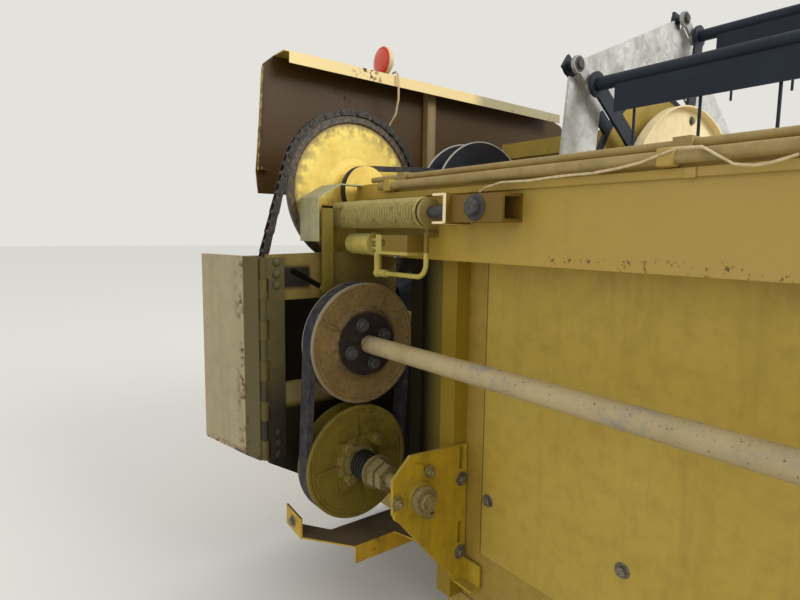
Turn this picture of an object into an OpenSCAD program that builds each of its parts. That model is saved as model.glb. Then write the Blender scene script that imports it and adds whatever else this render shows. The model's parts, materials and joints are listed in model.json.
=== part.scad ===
// Combine grain header: cutter bar, auger trough, tined pick-up reel and the
// variable-speed reel drive at its left-hand end.
// Millimetres. X runs along the cut width (left end negative), Y forward, Z up,
// Z = 0 is the ground under the skid shoes, Y = 0 the rear face of the back sheet.

/* [Cutting width and frame] */
// clear width between the two crop end sheets
cut_width = 3960; // [2400:20:6000]
// thickness of the folded sheet steel
sheet_t = 4; // [2:0.5:8]
// height of the back sheet's lower edge
back_bottom = 100; // [60:10:200]
// underside of the top beam
beam_bottom = 890; // [700:10:1100]
// height of the top beam's box section
beam_h = 176; // [100:2:240]
// rear face of the top beam, behind the back sheet
beam_rear = 84; // [40:2:160]
// depth of the top beam's box section
beam_d = 120; // [80:2:200]
// wall of the top beam
beam_wall = 6; // [4:1:10]
// width of the sheet that runs on past the left end sheet
wing_w = 158; // [60:2:165]
// how far the top beam runs past the left end sheet
beam_over_left = 270; // [150:10:400]
// how far the top beam runs past the right end sheet
beam_over_right = 26; // [10:2:60]

/* [Feeder opening] */
// width of the opening to the feeder house
feeder_w = 1150; // [800:10:1500]
// lower edge of the opening
feeder_z0 = 215; // [150:5:300]
// upper edge of the opening
feeder_z1 = 800; // [600:10:860]
// width of the frame angle round the opening
feeder_frame_w = 60; // [40:5:100]
// lock pin bore radius
lock_pin_r = 15; // [8:0.5:25]

/* [Auger] */
// height of the auger's axis
auger_z = 330; // [320:1:340]
// distance of the auger's axis in front of the back sheet
auger_y = 245; // [240:1:260]
// radius of the auger tube
auger_tube_r = 120; // [80:5:140]
// outer radius of the flights
auger_flight_r = 210; // [180:5:215]
// thickness of a flight
flight_t = 5; // [3:1:10]
// pitch of a flight
flight_pitch = 430; // [300:10:600]
// gap from the flights to the trough
trough_gap = 20; // [10:1:40]
// radius of the auger's end shafts
auger_shaft_r = 25; // [15:1:40]
// radius of a retracting finger
finger_r = 8; // [5:1:12]
// number of rows of fingers along the auger
finger_rows = 8; // [4:1:12]

/* [Cutter bar] */
// line of the cutter bar's rear edge, ahead of the back sheet
bar_y = 700; // [600:10:900]
// height of the cutter bar's underside
bar_z = 76; // [60:2:140]
// pitch of the guards and knife sections
guard_pitch = 76.2; // [50:0.1:80]
// width of a guard
guard_w = 22; // [14:1:30]
// reach of a guard ahead of the bar
guard_reach = 130; // [90:5:160]
// thickness of the knife sections
knife_t = 3; // [2:0.5:5]

/* [Reel] */
// distance of the reel's axis in front of the back sheet
reel_y = 866; // [840:2:900]
// height of the reel's axis
reel_z = 1000; // [990:2:1100]
// radius of the circle of tined bats
reel_r = 558; // [500:2:560]
// angle of the first bat, from straight ahead, upward
bat_phase = 143.7; // [0:0.1:360]
// radius of the reel's centre tube
reel_tube_r = 57; // [30:1:90]
// radius of the rimmed discs that carry the spider arms
disc_r = 335; // [150:5:380]
// radius of a bat's tube
bat_r = 17; // [12:1:25]
// depth of the flat face of a bat
bat_face = 78; // [60:2:110]
// length of a tine
tine_len = 205; // [150:5:220]
// radius of a tine's wire
tine_r = 3.5; // [2:0.5:5]
// tines on each bat
tine_count = 24; // [10:2:30]
// distance from the reel's end discs to the outer tines
tine_inset = 82; // [60:1:110]
// crank from a bat's axis back to the control ring
crank_y = -60; // [-80:1:-40]
// rise of that crank
crank_z = 42; // [0:1:60]
// distance from the cut's edge to the reel's end discs
reel_inset = 80; // [76:1:120]

/* [Reel arms and lift] */
// distance of the arm pivots behind (negative) the back sheet
pivot_y = -41; // [-80:1:40]
// height of the arm pivots
pivot_z = 1055; // [900:1:1100]
// height of the arm's box section
arm_h = 80; // [60:2:120]
// width of the arm's box section
arm_w = 50; // [30:2:80]
// inner face of the left arm from the centre line
arm_left = 2390; // [2300:5:2450]
// inner face of the right arm from the centre line
arm_right = 2030; // [2000:5:2100]
// foot pin of the lift cylinders, forward of the back sheet
lift_foot_y = 110; // [60:5:200]
// foot pin's height
lift_foot_z = 760; // [600:10:850]
// eye pin of the lift cylinders, along the arm from its pivot
lift_eye = 640; // [500:10:800]
// radius of a lift cylinder's barrel
barrel_r = 30; // [20:1:45]
// radius of a lift cylinder's rod
rod_r = 15; // [10:1:25]

/* [Reel drive] */
// right-hand face of the two belt pulleys, left of the centre line
pulley_face = 2150; // [2050:10:2300]
// width over a pulley's two halves
pulley_w = 54; // [48:1:70]
// radius of the upper pulley
upper_r = 147; // [100:1:200]
// radius of the lower pulley
lower_r = 142; // [100:1:200]
// drive axis behind the back sheet
drive_y = -134; // [-160:1:-100]
// height of the drive axis
drive_z = 680; // [600:5:760]
// lower shaft behind the back sheet
lower_y = -152; // [-180:1:-120]
// height of the lower shaft
lower_z = 386; // [340:1:440]
// radius of the long drive tube
tube_r = 21; // [15:1:30]
// length of the long drive tube
tube_len = 1440; // [600:10:1500]
// radius of the shafts that the pulleys turn on
shaft_r = 17.5; // [12:0.5:25]
// width of the drive belt
belt_w = 38; // [30:1:42]
// thickness of the drive belt
belt_t = 15; // [10:1:20]
// pitch radius of the big chain wheel
big_wheel_r = 210; // [150:1:240]
// pitch radius of the small chain wheel
small_wheel_r = 62; // [40:1:90]
// pitch radius of the chain tension wheel
idler_r = 45; // [30:1:60]
// chain tension wheel behind the back sheet
idler_y = -285; // [-300:1:-200]
// height of the chain tension wheel
idler_z = 800; // [700:10:840]
// plane of the chain, left of the centre line
chain_x = 2350; // [2330:5:2370]
// width of the chain
chain_w = 24; // [16:1:32]
// plane of the reel belt, left of the centre line
reel_belt_x = 2303; // [2290:1:2320]
// radius of the reel belt's driving pulley
reel_drive_r = 66; // [50:1:100]
// radius of the pulley on the reel
reel_pulley_r = 170; // [100:1:220]
// guide pulley inside the reel belt, along the arm from its pivot
guide_at = 400; // [200:10:600]

/* [End shields and door] */
// distance of the left outer sheet from the left reel arm's inner face
shield_out = 180; // [120:5:240]
// height of the shield's top
shield_top = 1440; // [1300:10:1500]
// width of the shield's top flange
shield_flange = 70; // [40:5:120]
// depth of the lip on that flange
shield_lip = 32; // [20:1:50]
// width of the rear door from its hinge
door_w = 256; // [200:2:280]
// height of the rear door
door_h = 486; // [400:2:520]
// height of the rear door's lower edge
door_z = 402; // [380:2:440]
// depth of the rear door's folded edge
door_d = 18; // [12:1:30]
// angle that the rear door stands ajar
door_ajar = 10; // [0:1:20]
// radius of the marker lamp
lamp_r = 44; // [30:1:60]

/* [Fits] */
// radial clearance of a shaft in its bearing
run_fit = 0.05; // [0.02:0.01:0.1]
// gap between a wheel and the belt or chain round it
wrap_gap = 0.3; // [0.2:0.1:1]

/* [Hidden] */
half_cut = cut_width / 2;
reel_half = half_cut - reel_inset;
tine_span = 2 * (reel_half - tine_inset);
beam_top = beam_bottom + beam_h;
beam_front = beam_d - beam_rear;
beam_x0 = -half_cut - beam_over_left;
beam_x1 = half_cut + beam_over_right;
trough_r = auger_flight_r + trough_gap;
floor_z = auger_z - trough_r;
eps = 0.3;
hinge_y = -351;
bat_count = 6;
shield_x = arm_left + shield_out;
belt_in = 12.5;
ring_y = reel_y + crank_y;
ring_z = reel_z + crank_z;
carrier_r = disc_r - 15;
guard_n = floor(cut_width / guard_pitch);
arm_len = sqrt(pow(reel_y - pivot_y, 2) + pow(reel_z - pivot_z, 2));
arm_tilt = atan2(reel_z - pivot_z, reel_y - pivot_y);
guide_y = pivot_y + guide_at * cos(arm_tilt);
guide_z = pivot_z + guide_at * sin(arm_tilt);
guide_r = reel_drive_r + (reel_pulley_r - reel_drive_r) * guide_at / arm_len - belt_in - wrap_gap;
lift_eye_y = pivot_y + lift_eye * cos(arm_tilt) + (arm_h / 2 + 34) * sin(arm_tilt);
lift_eye_z = pivot_z + lift_eye * sin(arm_tilt) - (arm_h / 2 + 34) * cos(arm_tilt);
lift_len = sqrt(pow(lift_eye_y - lift_foot_y, 2) + pow(lift_eye_z - lift_foot_z, 2));
lift_tilt = atan2(lift_eye_z - lift_foot_z, lift_eye_y - lift_foot_y);
right_cover = half_cut + 170;
column_x = beam_x0;
hinge_x = column_x - 2;
hinge_pin_r = 5.8;
knuckle_h = (door_h - 4) / 10;
column_t = 12;
bracket_x = -half_cut + 47.3;
paint = [0.72, 0.56, 0.2];
dark = [0.12, 0.13, 0.17];
zinc = [0.7, 0.71, 0.7];
steel = [0.45, 0.42, 0.38];
cream = [0.9, 0.84, 0.62];
tan = [0.66, 0.55, 0.33];

// flat shape in the side plane (Y across, Z up) drawn from x0 to x1
module side(x0, x1, pts) {
    translate([x0, 0, 0]) rotate([90, 0, 90]) linear_extrude(x1 - x0) polygon(pts);
}

// round bar along X, centred on y and z
module rod_x(x0, x1, r, y = 0, z = 0) {
    translate([x0, y, z]) rotate([0, 90, 0]) cylinder(h = x1 - x0, r = r, $fn = 48);
}

// box from corner to corner
module block(a, b) {
    translate(a) cube([b[0] - a[0], b[1] - a[1], b[2] - a[2]]);
}

// closed loop round wheels listed as [y, z, radius], x0 to x1, between two offsets
module loop_x(x0, x1, wheels, inner, outer) {
    translate([x0, 0, 0]) rotate([90, 0, 90]) linear_extrude(x1 - x0) difference() {
        hull() for (w = wheels) translate([w[0], w[1]]) circle(r = w[2] + outer, $fn = 96);
        hull() for (w = wheels) translate([w[0], w[1]]) circle(r = w[2] + inner, $fn = 96);
    }
}

module top_beam() color(paint) {
    difference() {
        block([beam_x0, -beam_rear, beam_bottom], [beam_x1, beam_front, beam_top]);
        block([beam_x0 + 8, beam_wall - beam_rear, beam_bottom + beam_wall],
              [beam_x1 - 8, beam_front - beam_wall, beam_top - beam_wall]);
    }
    for (x = [beam_x0 - 20, beam_x1])
        side(x, x + 20, [[-beam_rear, beam_bottom], [beam_front, beam_bottom],
                         [beam_front, beam_top], [-beam_rear, beam_top]]);
    rod_x(-arm_left - arm_w - 12, beam_x0, shaft_r, pivot_y, pivot_z);
    rod_x(beam_x1, arm_right + arm_w + 12, shaft_r, pivot_y, pivot_z);
}

module back_sheet() color(paint) {
    difference() {
        block([-half_cut, 0, back_bottom], [half_cut, sheet_t, beam_bottom]);
        block([-feeder_w / 2, -1, feeder_z0], [feeder_w / 2, sheet_t + 1, feeder_z1]);
    }
    block([-half_cut - wing_w, -sheet_t - eps, 340], [-half_cut - eps, -eps, beam_bottom - eps]);
    block([-half_cut - wing_w + 48, -sheet_t - 12, 360], [-half_cut - wing_w + 56, -sheet_t, 870]);
}

module rear_panels() color(paint) for (s = [-1, 1])
    block([s < 0 ? -half_cut + 100 : 660, -3, 225], [s < 0 ? -660 : half_cut - 100, 0, beam_bottom]);

module end_posts() color(paint) for (s = [-1, 1])
    difference() {
        block([s < 0 ? -half_cut : half_cut - 47, -40, back_bottom],
              [s < 0 ? -half_cut + 47 : half_cut, 0, beam_bottom]);
        block([s < 0 ? -half_cut + 5 : half_cut - 42, -35, back_bottom - 1],
              [s < 0 ? -half_cut + 42 : half_cut - 5, -5, beam_bottom + 1]);
    }

module bottom_beam() color(paint) difference() {
    block([-half_cut, 0, 36], [half_cut, 90, back_bottom - 4]);
    block([-half_cut - 1, 6, 42], [half_cut + 1, 84, back_bottom - 10]);
}

module floor_pan() color(paint) difference() {
    union() {
        difference() {
            rod_x(-half_cut, half_cut, trough_r + sheet_t, auger_y, auger_z);
            rod_x(-half_cut - 1, half_cut + 1, trough_r, auger_y, auger_z);
            block([-half_cut - 2, auger_y, 0], [half_cut + 2, auger_y + 400, 900]);
            block([-half_cut - 2, -50, auger_z - 90], [half_cut + 2, auger_y + 400, 900]);
        }
        side(-half_cut, half_cut, [[auger_y, floor_z - sheet_t], [bar_y - 60, floor_z - sheet_t],
             [bar_y, bar_z + 4], [bar_y, bar_z + 8], [bar_y - 60, floor_z], [auger_y, floor_z]]);
        side(-half_cut, half_cut, [[sheet_t, back_bottom - 4], [auger_y - 20, back_bottom - 4],
             [auger_y - 20, back_bottom], [sheet_t, back_bottom]]);
    }
    block([-feeder_w / 2, -50, feeder_z0], [feeder_w / 2, auger_y, 900]);
}

module feeder_frame() color(paint) {
    difference() {
        block([-feeder_w / 2 - feeder_frame_w, -60, feeder_z0 - 60],
              [feeder_w / 2 + feeder_frame_w, 0, feeder_z1 + 60]);
        block([-feeder_w / 2, -61, feeder_z0], [feeder_w / 2, 1, feeder_z1]);
        block([-feeder_w / 2 - feeder_frame_w + 6, -54, feeder_z0 - 54],
              [feeder_w / 2 + feeder_frame_w - 6, 1, feeder_z1 + 54]);
    }
    for (s = [-1, 1]) difference() {
        side(s * (feeder_w / 2 + 20) - 8, s * (feeder_w / 2 + 20) + 8,
             [[-60, 165], [-60, 290], [-110, 290], [-140, 255], [-140, 200], [-110, 165]]);
        rod_x(s * (feeder_w / 2 + 20) - 9, s * (feeder_w / 2 + 20) + 9, lock_pin_r, -100, 228);
    }
    for (s = [-1, 1]) block([s * 300 - 40, -90, feeder_z1 + 60], [s * 300 + 40, -20, beam_bottom]);
}

module end_sheet(x0, x1) difference() {
    side(x0, x1, [[0, 36], [0, beam_bottom], [beam_front + 0.5, beam_bottom],
                  [beam_front + 0.5, beam_top - 20], [240, beam_top - 40], [620, 700],
                  [880, 420], [930, 60], [640, 36]]);
    rod_x(x0 - 1, x1 + 1, auger_shaft_r + 12, auger_y, auger_z);
    block([x0 - 1, bar_y + 4, bar_z + 5], [x1 + 1, bar_y + 80, bar_z + 30]);
}

module end_sheets() color(paint) {
    end_sheet(-half_cut - sheet_t, -half_cut);
    end_sheet(half_cut, half_cut + sheet_t);
}

// square tubes that carry the outer sheets: [rear face y, underside z]
outriggers = [[85, 670], [70, 130], [700, 200], [450, 560]];

module outrigger_tubes() color(paint) for (s = [-1, 1]) {
    x0 = s < 0 ? -shield_x + sheet_t : half_cut + sheet_t;
    x1 = s < 0 ? -half_cut - sheet_t : right_cover;
    foot = s < 0 ? -arm_left - arm_w : arm_right;
    for (t = outriggers) difference() {
        block([x0, t[0], t[1]], [x1, t[0] + 50, t[1] + 50]);
        block([x0 - 1, t[0] + 4, t[1] + 4], [x1 + 1, t[0] + 46, t[1] + 46]);
    }
    for (x = [foot, foot + arm_w - 8])
        side(x, x + 8, [[90, 719], [130, 719], [130, 770], [120, 785], [100, 785], [90, 770]]);
    rod_x(foot, foot + arm_w, 12, lift_foot_y, lift_foot_z);
}

module drive_column() color(paint) {
    difference() {
        side(column_x - column_t, column_x, [[-343, 394], [-343, 893], [-92, 900], [-84, 889.7],
             [30, 889.7], [30, 500], [0, 300], [-185, 300]]);
        rod_x(column_x - 20, column_x + 1, shaft_r + run_fit, drive_y, drive_z);
        rod_x(column_x - 20, column_x + 1, shaft_r + run_fit, lower_y, lower_z);
        block([column_x - 20, -300, 585], [column_x + 1, -190, 786]);
        translate([column_x - 20, -285, 850]) rotate([-28, 0, 0]) cube([22, 96, 14]);
    }
    rod_x(-chain_x - 20, column_x - column_t, 10, idler_y, idler_z);
}

module end_shield_left() color(paint) {
    side(-shield_x, -shield_x + sheet_t, [[-224, 1054], [-230, 1116], [-224, 1182], [-205, 1410],
         [-170, shield_top], [1027, shield_top - 16], [1120, 1400], [1330, 1150], [1420, 896.3],
         [140, 896.3], [60, 1054]]);
    side(-shield_x, -shield_x + shield_flange, [[-170, shield_top - 3], [-170, shield_top],
         [1027, shield_top - 16], [1027, shield_top - 19]]);
    side(-shield_x + shield_flange - 3, -shield_x + shield_flange, [[-156, shield_top - shield_lip],
         [-156, shield_top], [1027, shield_top - 16], [1027, shield_top - 16 - shield_lip]]);
    block([-shield_x + sheet_t - 1, 375, 1158], [-shield_x + sheet_t + 24, 411, shield_top - 10]);
    block([-shield_x + sheet_t - 1, -220, 1120], [-shield_x + sheet_t + 22, -196, 1126]);
    side(-shield_x, -shield_x + 16, [[-227, 1118], [-223, 1118], [-204, 1400], [-208, 1400]]);
}

module side_covers() color(paint) {
    side(-shield_x, -shield_x + sheet_t, [[-334, 372], [-334, 878], [140, 878], [140, 896],
         [1420, 896], [1450, 560], [1330, 200], [960, 60], [190, 60], [-89, 225], [-217, 303]]);
    side(right_cover, right_cover + sheet_t, [[-60, 200], [-60, 1200], [700, 1200],
         [1330, 900], [1450, 560], [1330, 200], [960, 60], [0, 60]]);
}

module divider(x0, x1, xt) difference() {
    hull() {
        side(x0, x1, [[931, 60], [931, 420], [960, 420], [960, 60]]);
        translate([xt, 1750, 60]) sphere(r = 14, $fn = 24);
    }
    hull() {
        side(x0 + 4, x1 - 4, [[930, 64], [930, 416], [960, 416], [960, 64]]);
        translate([xt, 1690, 62]) sphere(r = 8, $fn = 24);
    }
}

module crop_dividers() color(paint) {
    divider(-shield_x + sheet_t + eps, -half_cut - sheet_t - eps, -half_cut - 200);
    divider(half_cut + sheet_t + eps, right_cover - eps, half_cut + 90);
}

module skid_shoes() color(steel) {
    for (x = [-1900, 0, 1900]) block([x - 60, -30, 0], [x + 60, 80, 35.7]);
    for (x = [-1700, -700, 700, 1700])
    side(x - 60, x + 60, [[90.3, 40], [150, 8], [190, 0], [620, 0], [684, 12], [692, 81.8], [684, 83.9],
         [676, 19], [618, 8], [192, 8], [156, 15], [98, 48], [98, 60], [90.3, 60]]);
}

module cutter_bar() color(steel)
    block([-half_cut, bar_y, bar_z], [half_cut, bar_y + 60, bar_z + 8]);

module guards() color(steel) for (i = [0 : guard_n])
    translate([-guard_n * guard_pitch / 2 + i * guard_pitch, 0, 0]) intersection() {
    translate([0, 0, bar_z - 20]) linear_extrude(60) polygon([[-guard_w / 2, bar_y + 20],
        [guard_w / 2, bar_y + 20], [guard_w / 2, bar_y + 100], [3, bar_y + 62 + guard_reach],
        [-3, bar_y + 62 + guard_reach], [-guard_w / 2, bar_y + 100]]);
    side(-guard_w, guard_w, [[bar_y + 30, bar_z - 12], [bar_y + 30, bar_z], [bar_y + 60, bar_z],
          [bar_y + 60, bar_z + 8], [bar_y + 150, bar_z + 8], [bar_y + 150, bar_z + 14],
          [bar_y + 95, bar_z + 14], [bar_y + 95, bar_z + 20], [bar_y + 155, bar_z + 20],
          [bar_y + 60 + guard_reach, bar_z + 6],
          [bar_y + 60 + guard_reach, bar_z], [bar_y + 120, bar_z - 12]]);
    }

module knife() color(steel) {
    block([-half_cut - 50, bar_y + 40, bar_z + 8.3], [half_cut - 60, bar_y + 62, bar_z + 14]);
    for (i = [1 : guard_n - 1])
        translate([-guard_n * guard_pitch / 2 + i * guard_pitch, bar_y + 62, bar_z + 9])
            linear_extrude(knife_t) polygon([[-37, -8], [37, -8], [8, 80], [-8, 80]]);
}

module knife_drive_box() color(dark) {
    block([-half_cut - 190, 560, 60], [-half_cut - sheet_t, 700, 180]);
    rod_x(-half_cut - 230, -half_cut - 190, 60, 630, 120);
}

module auger_bearings() color(steel) for (s = [-1, 1]) difference() {
    rod_x(s < 0 ? -half_cut - sheet_t - 24 : half_cut + sheet_t,
          s < 0 ? -half_cut - sheet_t : half_cut + sheet_t + 24, 62, auger_y, auger_z);
    rod_x(-half_cut - 60, half_cut + 60, auger_shaft_r + run_fit, auger_y, auger_z);
}

module auger() color(paint) {
    difference() {
        rod_x(-half_cut + 20, half_cut - 20, auger_tube_r, auger_y, auger_z);
        for (s = [-1, 1]) rod_x(s < 0 ? -half_cut + 30 : 10, s < 0 ? -10 : half_cut - 30,
                                auger_tube_r - 5, auger_y, auger_z);
    }
    for (s = [-1, 1]) rod_x(s < 0 ? -half_cut - 40 : half_cut - 90, s < 0 ? -half_cut + 90 : half_cut + 40,
                            auger_shaft_r, auger_y, auger_z);
    for (i = [0 : finger_rows - 1])
        translate([-490 + i * 980 / (finger_rows - 1), auger_y, auger_z])
            for (k = [0, 1]) rotate([i * 57 + k * 180, 0, 0]) translate([0, 0, auger_tube_r - 3])
                cylinder(h = auger_flight_r - auger_tube_r + 3, r = finger_r, $fn = 24);
}

// helical spring along +X from x0: length, turns, mean radius, wire radius, axis y and z
module coil(x0, len, turns, rad, wire, y, z) {
    n = turns * 20;
    m = 8;
    pts = [for (i = [0 : n], j = [0 : m - 1])
        let (a = i * 18, b = j * 45)
        [x0 + len * i / n + wire * sin(b), y + (rad + wire * cos(b)) * cos(a),
         z + (rad + wire * cos(b)) * sin(a)]];
    caps = [[for (j = [0 : m - 1]) j], [for (j = [0 : m - 1]) n * m + m - 1 - j]];
    walls = [for (i = [0 : n - 1], j = [0 : m - 1], h = [0, 1])
        let (a = i * m + j, b = i * m + (j + 1) % m)
        h == 0 ? [a, a + m, b + m] : [a, b + m, b]];
    polyhedron(points = pts, faces = concat(caps, walls));
}

// one helical flight from x0 along +X, hand +1 or -1, a strip swept as one closed mesh
module flight(x0, len, hand) {
    n = ceil(len / flight_pitch * 36);
    root = (auger_tube_r + 0.1) / cos(5.2);
    pts = [for (i = [0 : n], q = [[0, root], [0, auger_flight_r],
                                  [flight_t, auger_flight_r], [flight_t, root]])
        let (a = hand * i / n * len / flight_pitch * 360)
        [x0 + i / n * (len - flight_t) + q[0], auger_y + q[1] * cos(a), auger_z + q[1] * sin(a)]];
    ends = hand > 0 ? [[0, 1, 2, 3], [n * 4 + 3, n * 4 + 2, n * 4 + 1, n * 4]]
                    : [[3, 2, 1, 0], [n * 4, n * 4 + 1, n * 4 + 2, n * 4 + 3]];
    walls = [for (i = [0 : n - 1], k = [0 : 3], h = [0, 1])
        let (a = i * 4 + k, b = i * 4 + (k + 1) % 4, c = b + 4, d = a + 4,
             t = h == 0 ? [a, d, c] : [a, c, b])
        hand > 0 ? t : [t[2], t[1], t[0]]];
    polyhedron(points = pts, faces = concat(ends, walls));
}

module auger_flights() color(paint) {
    flight(-half_cut + 24, half_cut - 620, 1);
    flight(596, half_cut - 620, -1);
}

// arm from its pivot to the reel's axis, inner face at x0
module reel_arm(x0) difference() {
    union() {
        translate([x0, pivot_y, pivot_z]) rotate([arm_tilt, 0, 0])
            translate([0, 0, -arm_h / 2]) cube([arm_w, arm_len, arm_h]);
        rod_x(x0, x0 + arm_w, 55, pivot_y, pivot_z);
        rod_x(x0, x0 + arm_w, 55, reel_y, reel_z);
        for (x = [x0, x0 + arm_w - 8]) difference() {
            rod_x(x, x + 8, 26, lift_eye_y, lift_eye_z);
            rod_x(x - 1, x + 9, 12.3, lift_eye_y, lift_eye_z);
        }
        for (x = [x0, x0 + arm_w - 8]) translate([x, pivot_y, pivot_z]) rotate([arm_tilt, 0, 0])
            translate([0, lift_eye - 24, -arm_h / 2 - 22]) cube([8, 48, 24]);
        rod_x(x0, x0 + arm_w, 12, lift_eye_y, lift_eye_z);
    }
    rod_x(x0 - 1, x0 + arm_w + 1, shaft_r + run_fit, pivot_y, pivot_z);
    rod_x(x0 - 1, x0 + arm_w + 1, shaft_r + run_fit, reel_y, reel_z);
    translate([x0 + 4, pivot_y, pivot_z]) rotate([arm_tilt, 0, 0])
        translate([0, 60, -arm_h / 2 + 4]) cube([arm_w - 8, arm_len - 120, arm_h - 8]);
}

// frame that holds the reel's left end inboard of its pulley, with the control ring's carrier
module inner_support() {
    x1 = -half_cut - 16;
    translate([0, pivot_y, pivot_z]) rotate([arm_tilt, 0, 0]) {
        translate([-arm_left - 10, 620, arm_h / 2 - 4]) cube([10, 60, 200]);
        translate([-arm_left - 10, 625, 186]) cube([arm_left + x1 + 10, 50, 50]);
        translate([x1 - 10, 625, 186]) cube([10, arm_len - 590, 50]);
        translate([x1 - 10, arm_len - 35, 0]) cube([10, 70, 190]);
    }
    rod_x(x1 - 10, -reel_half - 71, 40, reel_y, reel_z);
    rod_x(-reel_half - 72, -reel_half - 59, carrier_r, ring_y, ring_z);
    rod_x(-arm_left - 4, -reel_belt_x + 14, 12 - run_fit, guide_y, guide_z);
}

module reel_arms() color(paint) {
    difference() {
        union() {
            reel_arm(-arm_left - arm_w);
            inner_support();
        }
        rod_x(-arm_left - arm_w - 1, -reel_half - 58, shaft_r + run_fit, reel_y, reel_z);
    }
    reel_arm(arm_right);
}

module lift_barrel(x) translate([x, lift_foot_y, lift_foot_z]) rotate([lift_tilt - 90, 0, 0]) difference() {
    union() {
        translate([0, 0, 37]) cylinder(h = lift_len * 0.6 - 17, r = barrel_r, $fn = 48);
        cylinder(h = 45, r = 14, $fn = 48);
        rotate([0, 90, 0]) translate([0, 0, -15]) cylinder(h = 30, r = 26, $fn = 48);
    }
    translate([0, 0, 60]) cylinder(h = lift_len, r = rod_r + run_fit, $fn = 48);
    rotate([0, 90, 0]) translate([0, 0, -16]) cylinder(h = 32, r = 12 + run_fit, $fn = 48);
}

module lift_rod(x) translate([x, lift_foot_y, lift_foot_z]) rotate([lift_tilt - 90, 0, 0]) difference() {
    union() {
        translate([0, 0, lift_len * 0.6 - 110]) cylinder(h = lift_len * 0.4 + 100, r = rod_r, $fn = 48);
        translate([0, 0, lift_len]) rotate([0, 90, 0])
            translate([0, 0, -15]) cylinder(h = 30, r = 26, $fn = 48);
    }
    translate([0, 0, lift_len]) rotate([0, 90, 0])
        translate([0, 0, -16]) cylinder(h = 32, r = 17, $fn = 48);
}

module lift_barrels() color(dark) for (x = [-arm_left - arm_w / 2, arm_right + arm_w / 2])
    lift_barrel(x);

module lift_rods() color(zinc) for (x = [-arm_left - arm_w / 2, arm_right + arm_w / 2])
    lift_rod(x);

// spider stations along the reel
stations = [for (i = [-2 : 2]) reel_half * i / 2];

module reel_tube() color(cream) {
    difference() {
        rod_x(-reel_half - 28, reel_half + 28, reel_tube_r, reel_y, reel_z);
        rod_x(-reel_half - 8, reel_half + 8, reel_tube_r - 4, reel_y, reel_z);
    }
    rod_x(-arm_left - arm_w, arm_right + arm_w, shaft_r, reel_y, reel_z);
    for (x = stations) difference() {
        rod_x(x - 14, x + 14, disc_r, reel_y, reel_z);
        rod_x(x < 0 ? x - 10 : x - 15, x < 0 ? x + 15 : x + 10, disc_r - 4, reel_y, reel_z);
    }
}

module reel_spiders() color(dark) for (x = stations, k = [0 : bat_count - 1])
    translate([x < 0 ? x - 18.3 : x + 18.3, reel_y, reel_z])
    rotate([bat_phase + k * 360 / bat_count, 0, 0]) difference() {
        union() {
            translate([-4, reel_tube_r + eps, -22]) cube([8, reel_r - reel_tube_r, 44]);
            translate([-4, reel_r, 0]) rotate([0, 90, 0]) cylinder(h = 8, r = 32, $fn = 48);
        }
        translate([-5, reel_r, 0]) rotate([0, 90, 0]) cylinder(h = 10, r = bat_r + run_fit, $fn = 48);
    }

function bat_y(k) = reel_y + reel_r * cos(bat_phase + k * 360 / bat_count);
function bat_z(k) = reel_z + reel_r * sin(bat_phase + k * 360 / bat_count);

module bat(k) color(dark) {
    rod_x(-reel_half - 40, reel_half + 30, bat_r, bat_y(k), bat_z(k));
    for (s = [0 : 3]) block([stations[s] + 40, bat_y(k) - 12, bat_z(k) - bat_face],
                            [stations[s + 1] - 40, bat_y(k) - 8, bat_z(k) + 5]);
    difference() {
        union() {
            rod_x(-reel_half - 40, -reel_half - 30, 22, bat_y(k), bat_z(k));
            rod_x(-reel_half - 40, -reel_half - 30, 22, bat_y(k) + crank_y, bat_z(k) + crank_z);
            translate([-reel_half - 39, bat_y(k), bat_z(k)]) rotate([atan2(crank_z, crank_y), 0, 0])
                translate([0, 0, -14]) cube([8, sqrt(pow(crank_y, 2) + pow(crank_z, 2)), 28]);
        }
        rod_x(-reel_half - 41, -reel_half - 29, 10 + run_fit, bat_y(k) + crank_y, bat_z(k) + crank_z);
    }
    for (i = [0 : tine_count - 1])
        translate([-tine_span / 2 + i * tine_span / (tine_count - 1), bat_y(k) + 12, bat_z(k) - tine_len])
            cylinder(h = tine_len, r = tine_r, $fn = 16);
}

module bat_1() bat(0);
module bat_2() bat(1);
module bat_3() bat(2);
module bat_4() bat(3);
module bat_5() bat(4);
module bat_6() bat(5);

module control_ring() color(zinc) difference() {
    side(-reel_half - 58, -reel_half - 52, [for (k = [0 : bat_count - 1])
        [ring_y + (reel_r + 6) * cos(bat_phase + k * 360 / bat_count),
         ring_z + (reel_r + 6) * sin(bat_phase + k * 360 / bat_count)]]);
    side(-reel_half - 59, -reel_half - 51, [for (k = [0 : bat_count - 1])
        [ring_y + (reel_r - 160) * cos(bat_phase + k * 360 / bat_count),
         ring_z + (reel_r - 160) * sin(bat_phase + k * 360 / bat_count)]]);
    for (k = [0 : bat_count - 1])
        rod_x(-reel_half - 59, -reel_half - 51, 27, bat_y(k) + crank_y, bat_z(k) + crank_z);
}

module control_arms() color(dark) {
    difference() {
        union() {
            rod_x(-reel_half - 70, -reel_half - 58, disc_r, ring_y, ring_z);
            for (k = [0 : bat_count - 1]) translate([-reel_half - 66, ring_y, ring_z])
                rotate([bat_phase + k * 360 / bat_count, 0, 0]) translate([0, disc_r - 8, -20])
                    cube([7.7, reel_r - disc_r + 30, 40]);
            for (k = [0 : bat_count - 1])
                rod_x(-reel_half - 66, -reel_half - 28, 10, bat_y(k) + crank_y, bat_z(k) + crank_z);
        }
        rod_x(-reel_half - 71, -reel_half - 57, carrier_r + run_fit, ring_y, ring_z);
    }
}

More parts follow.
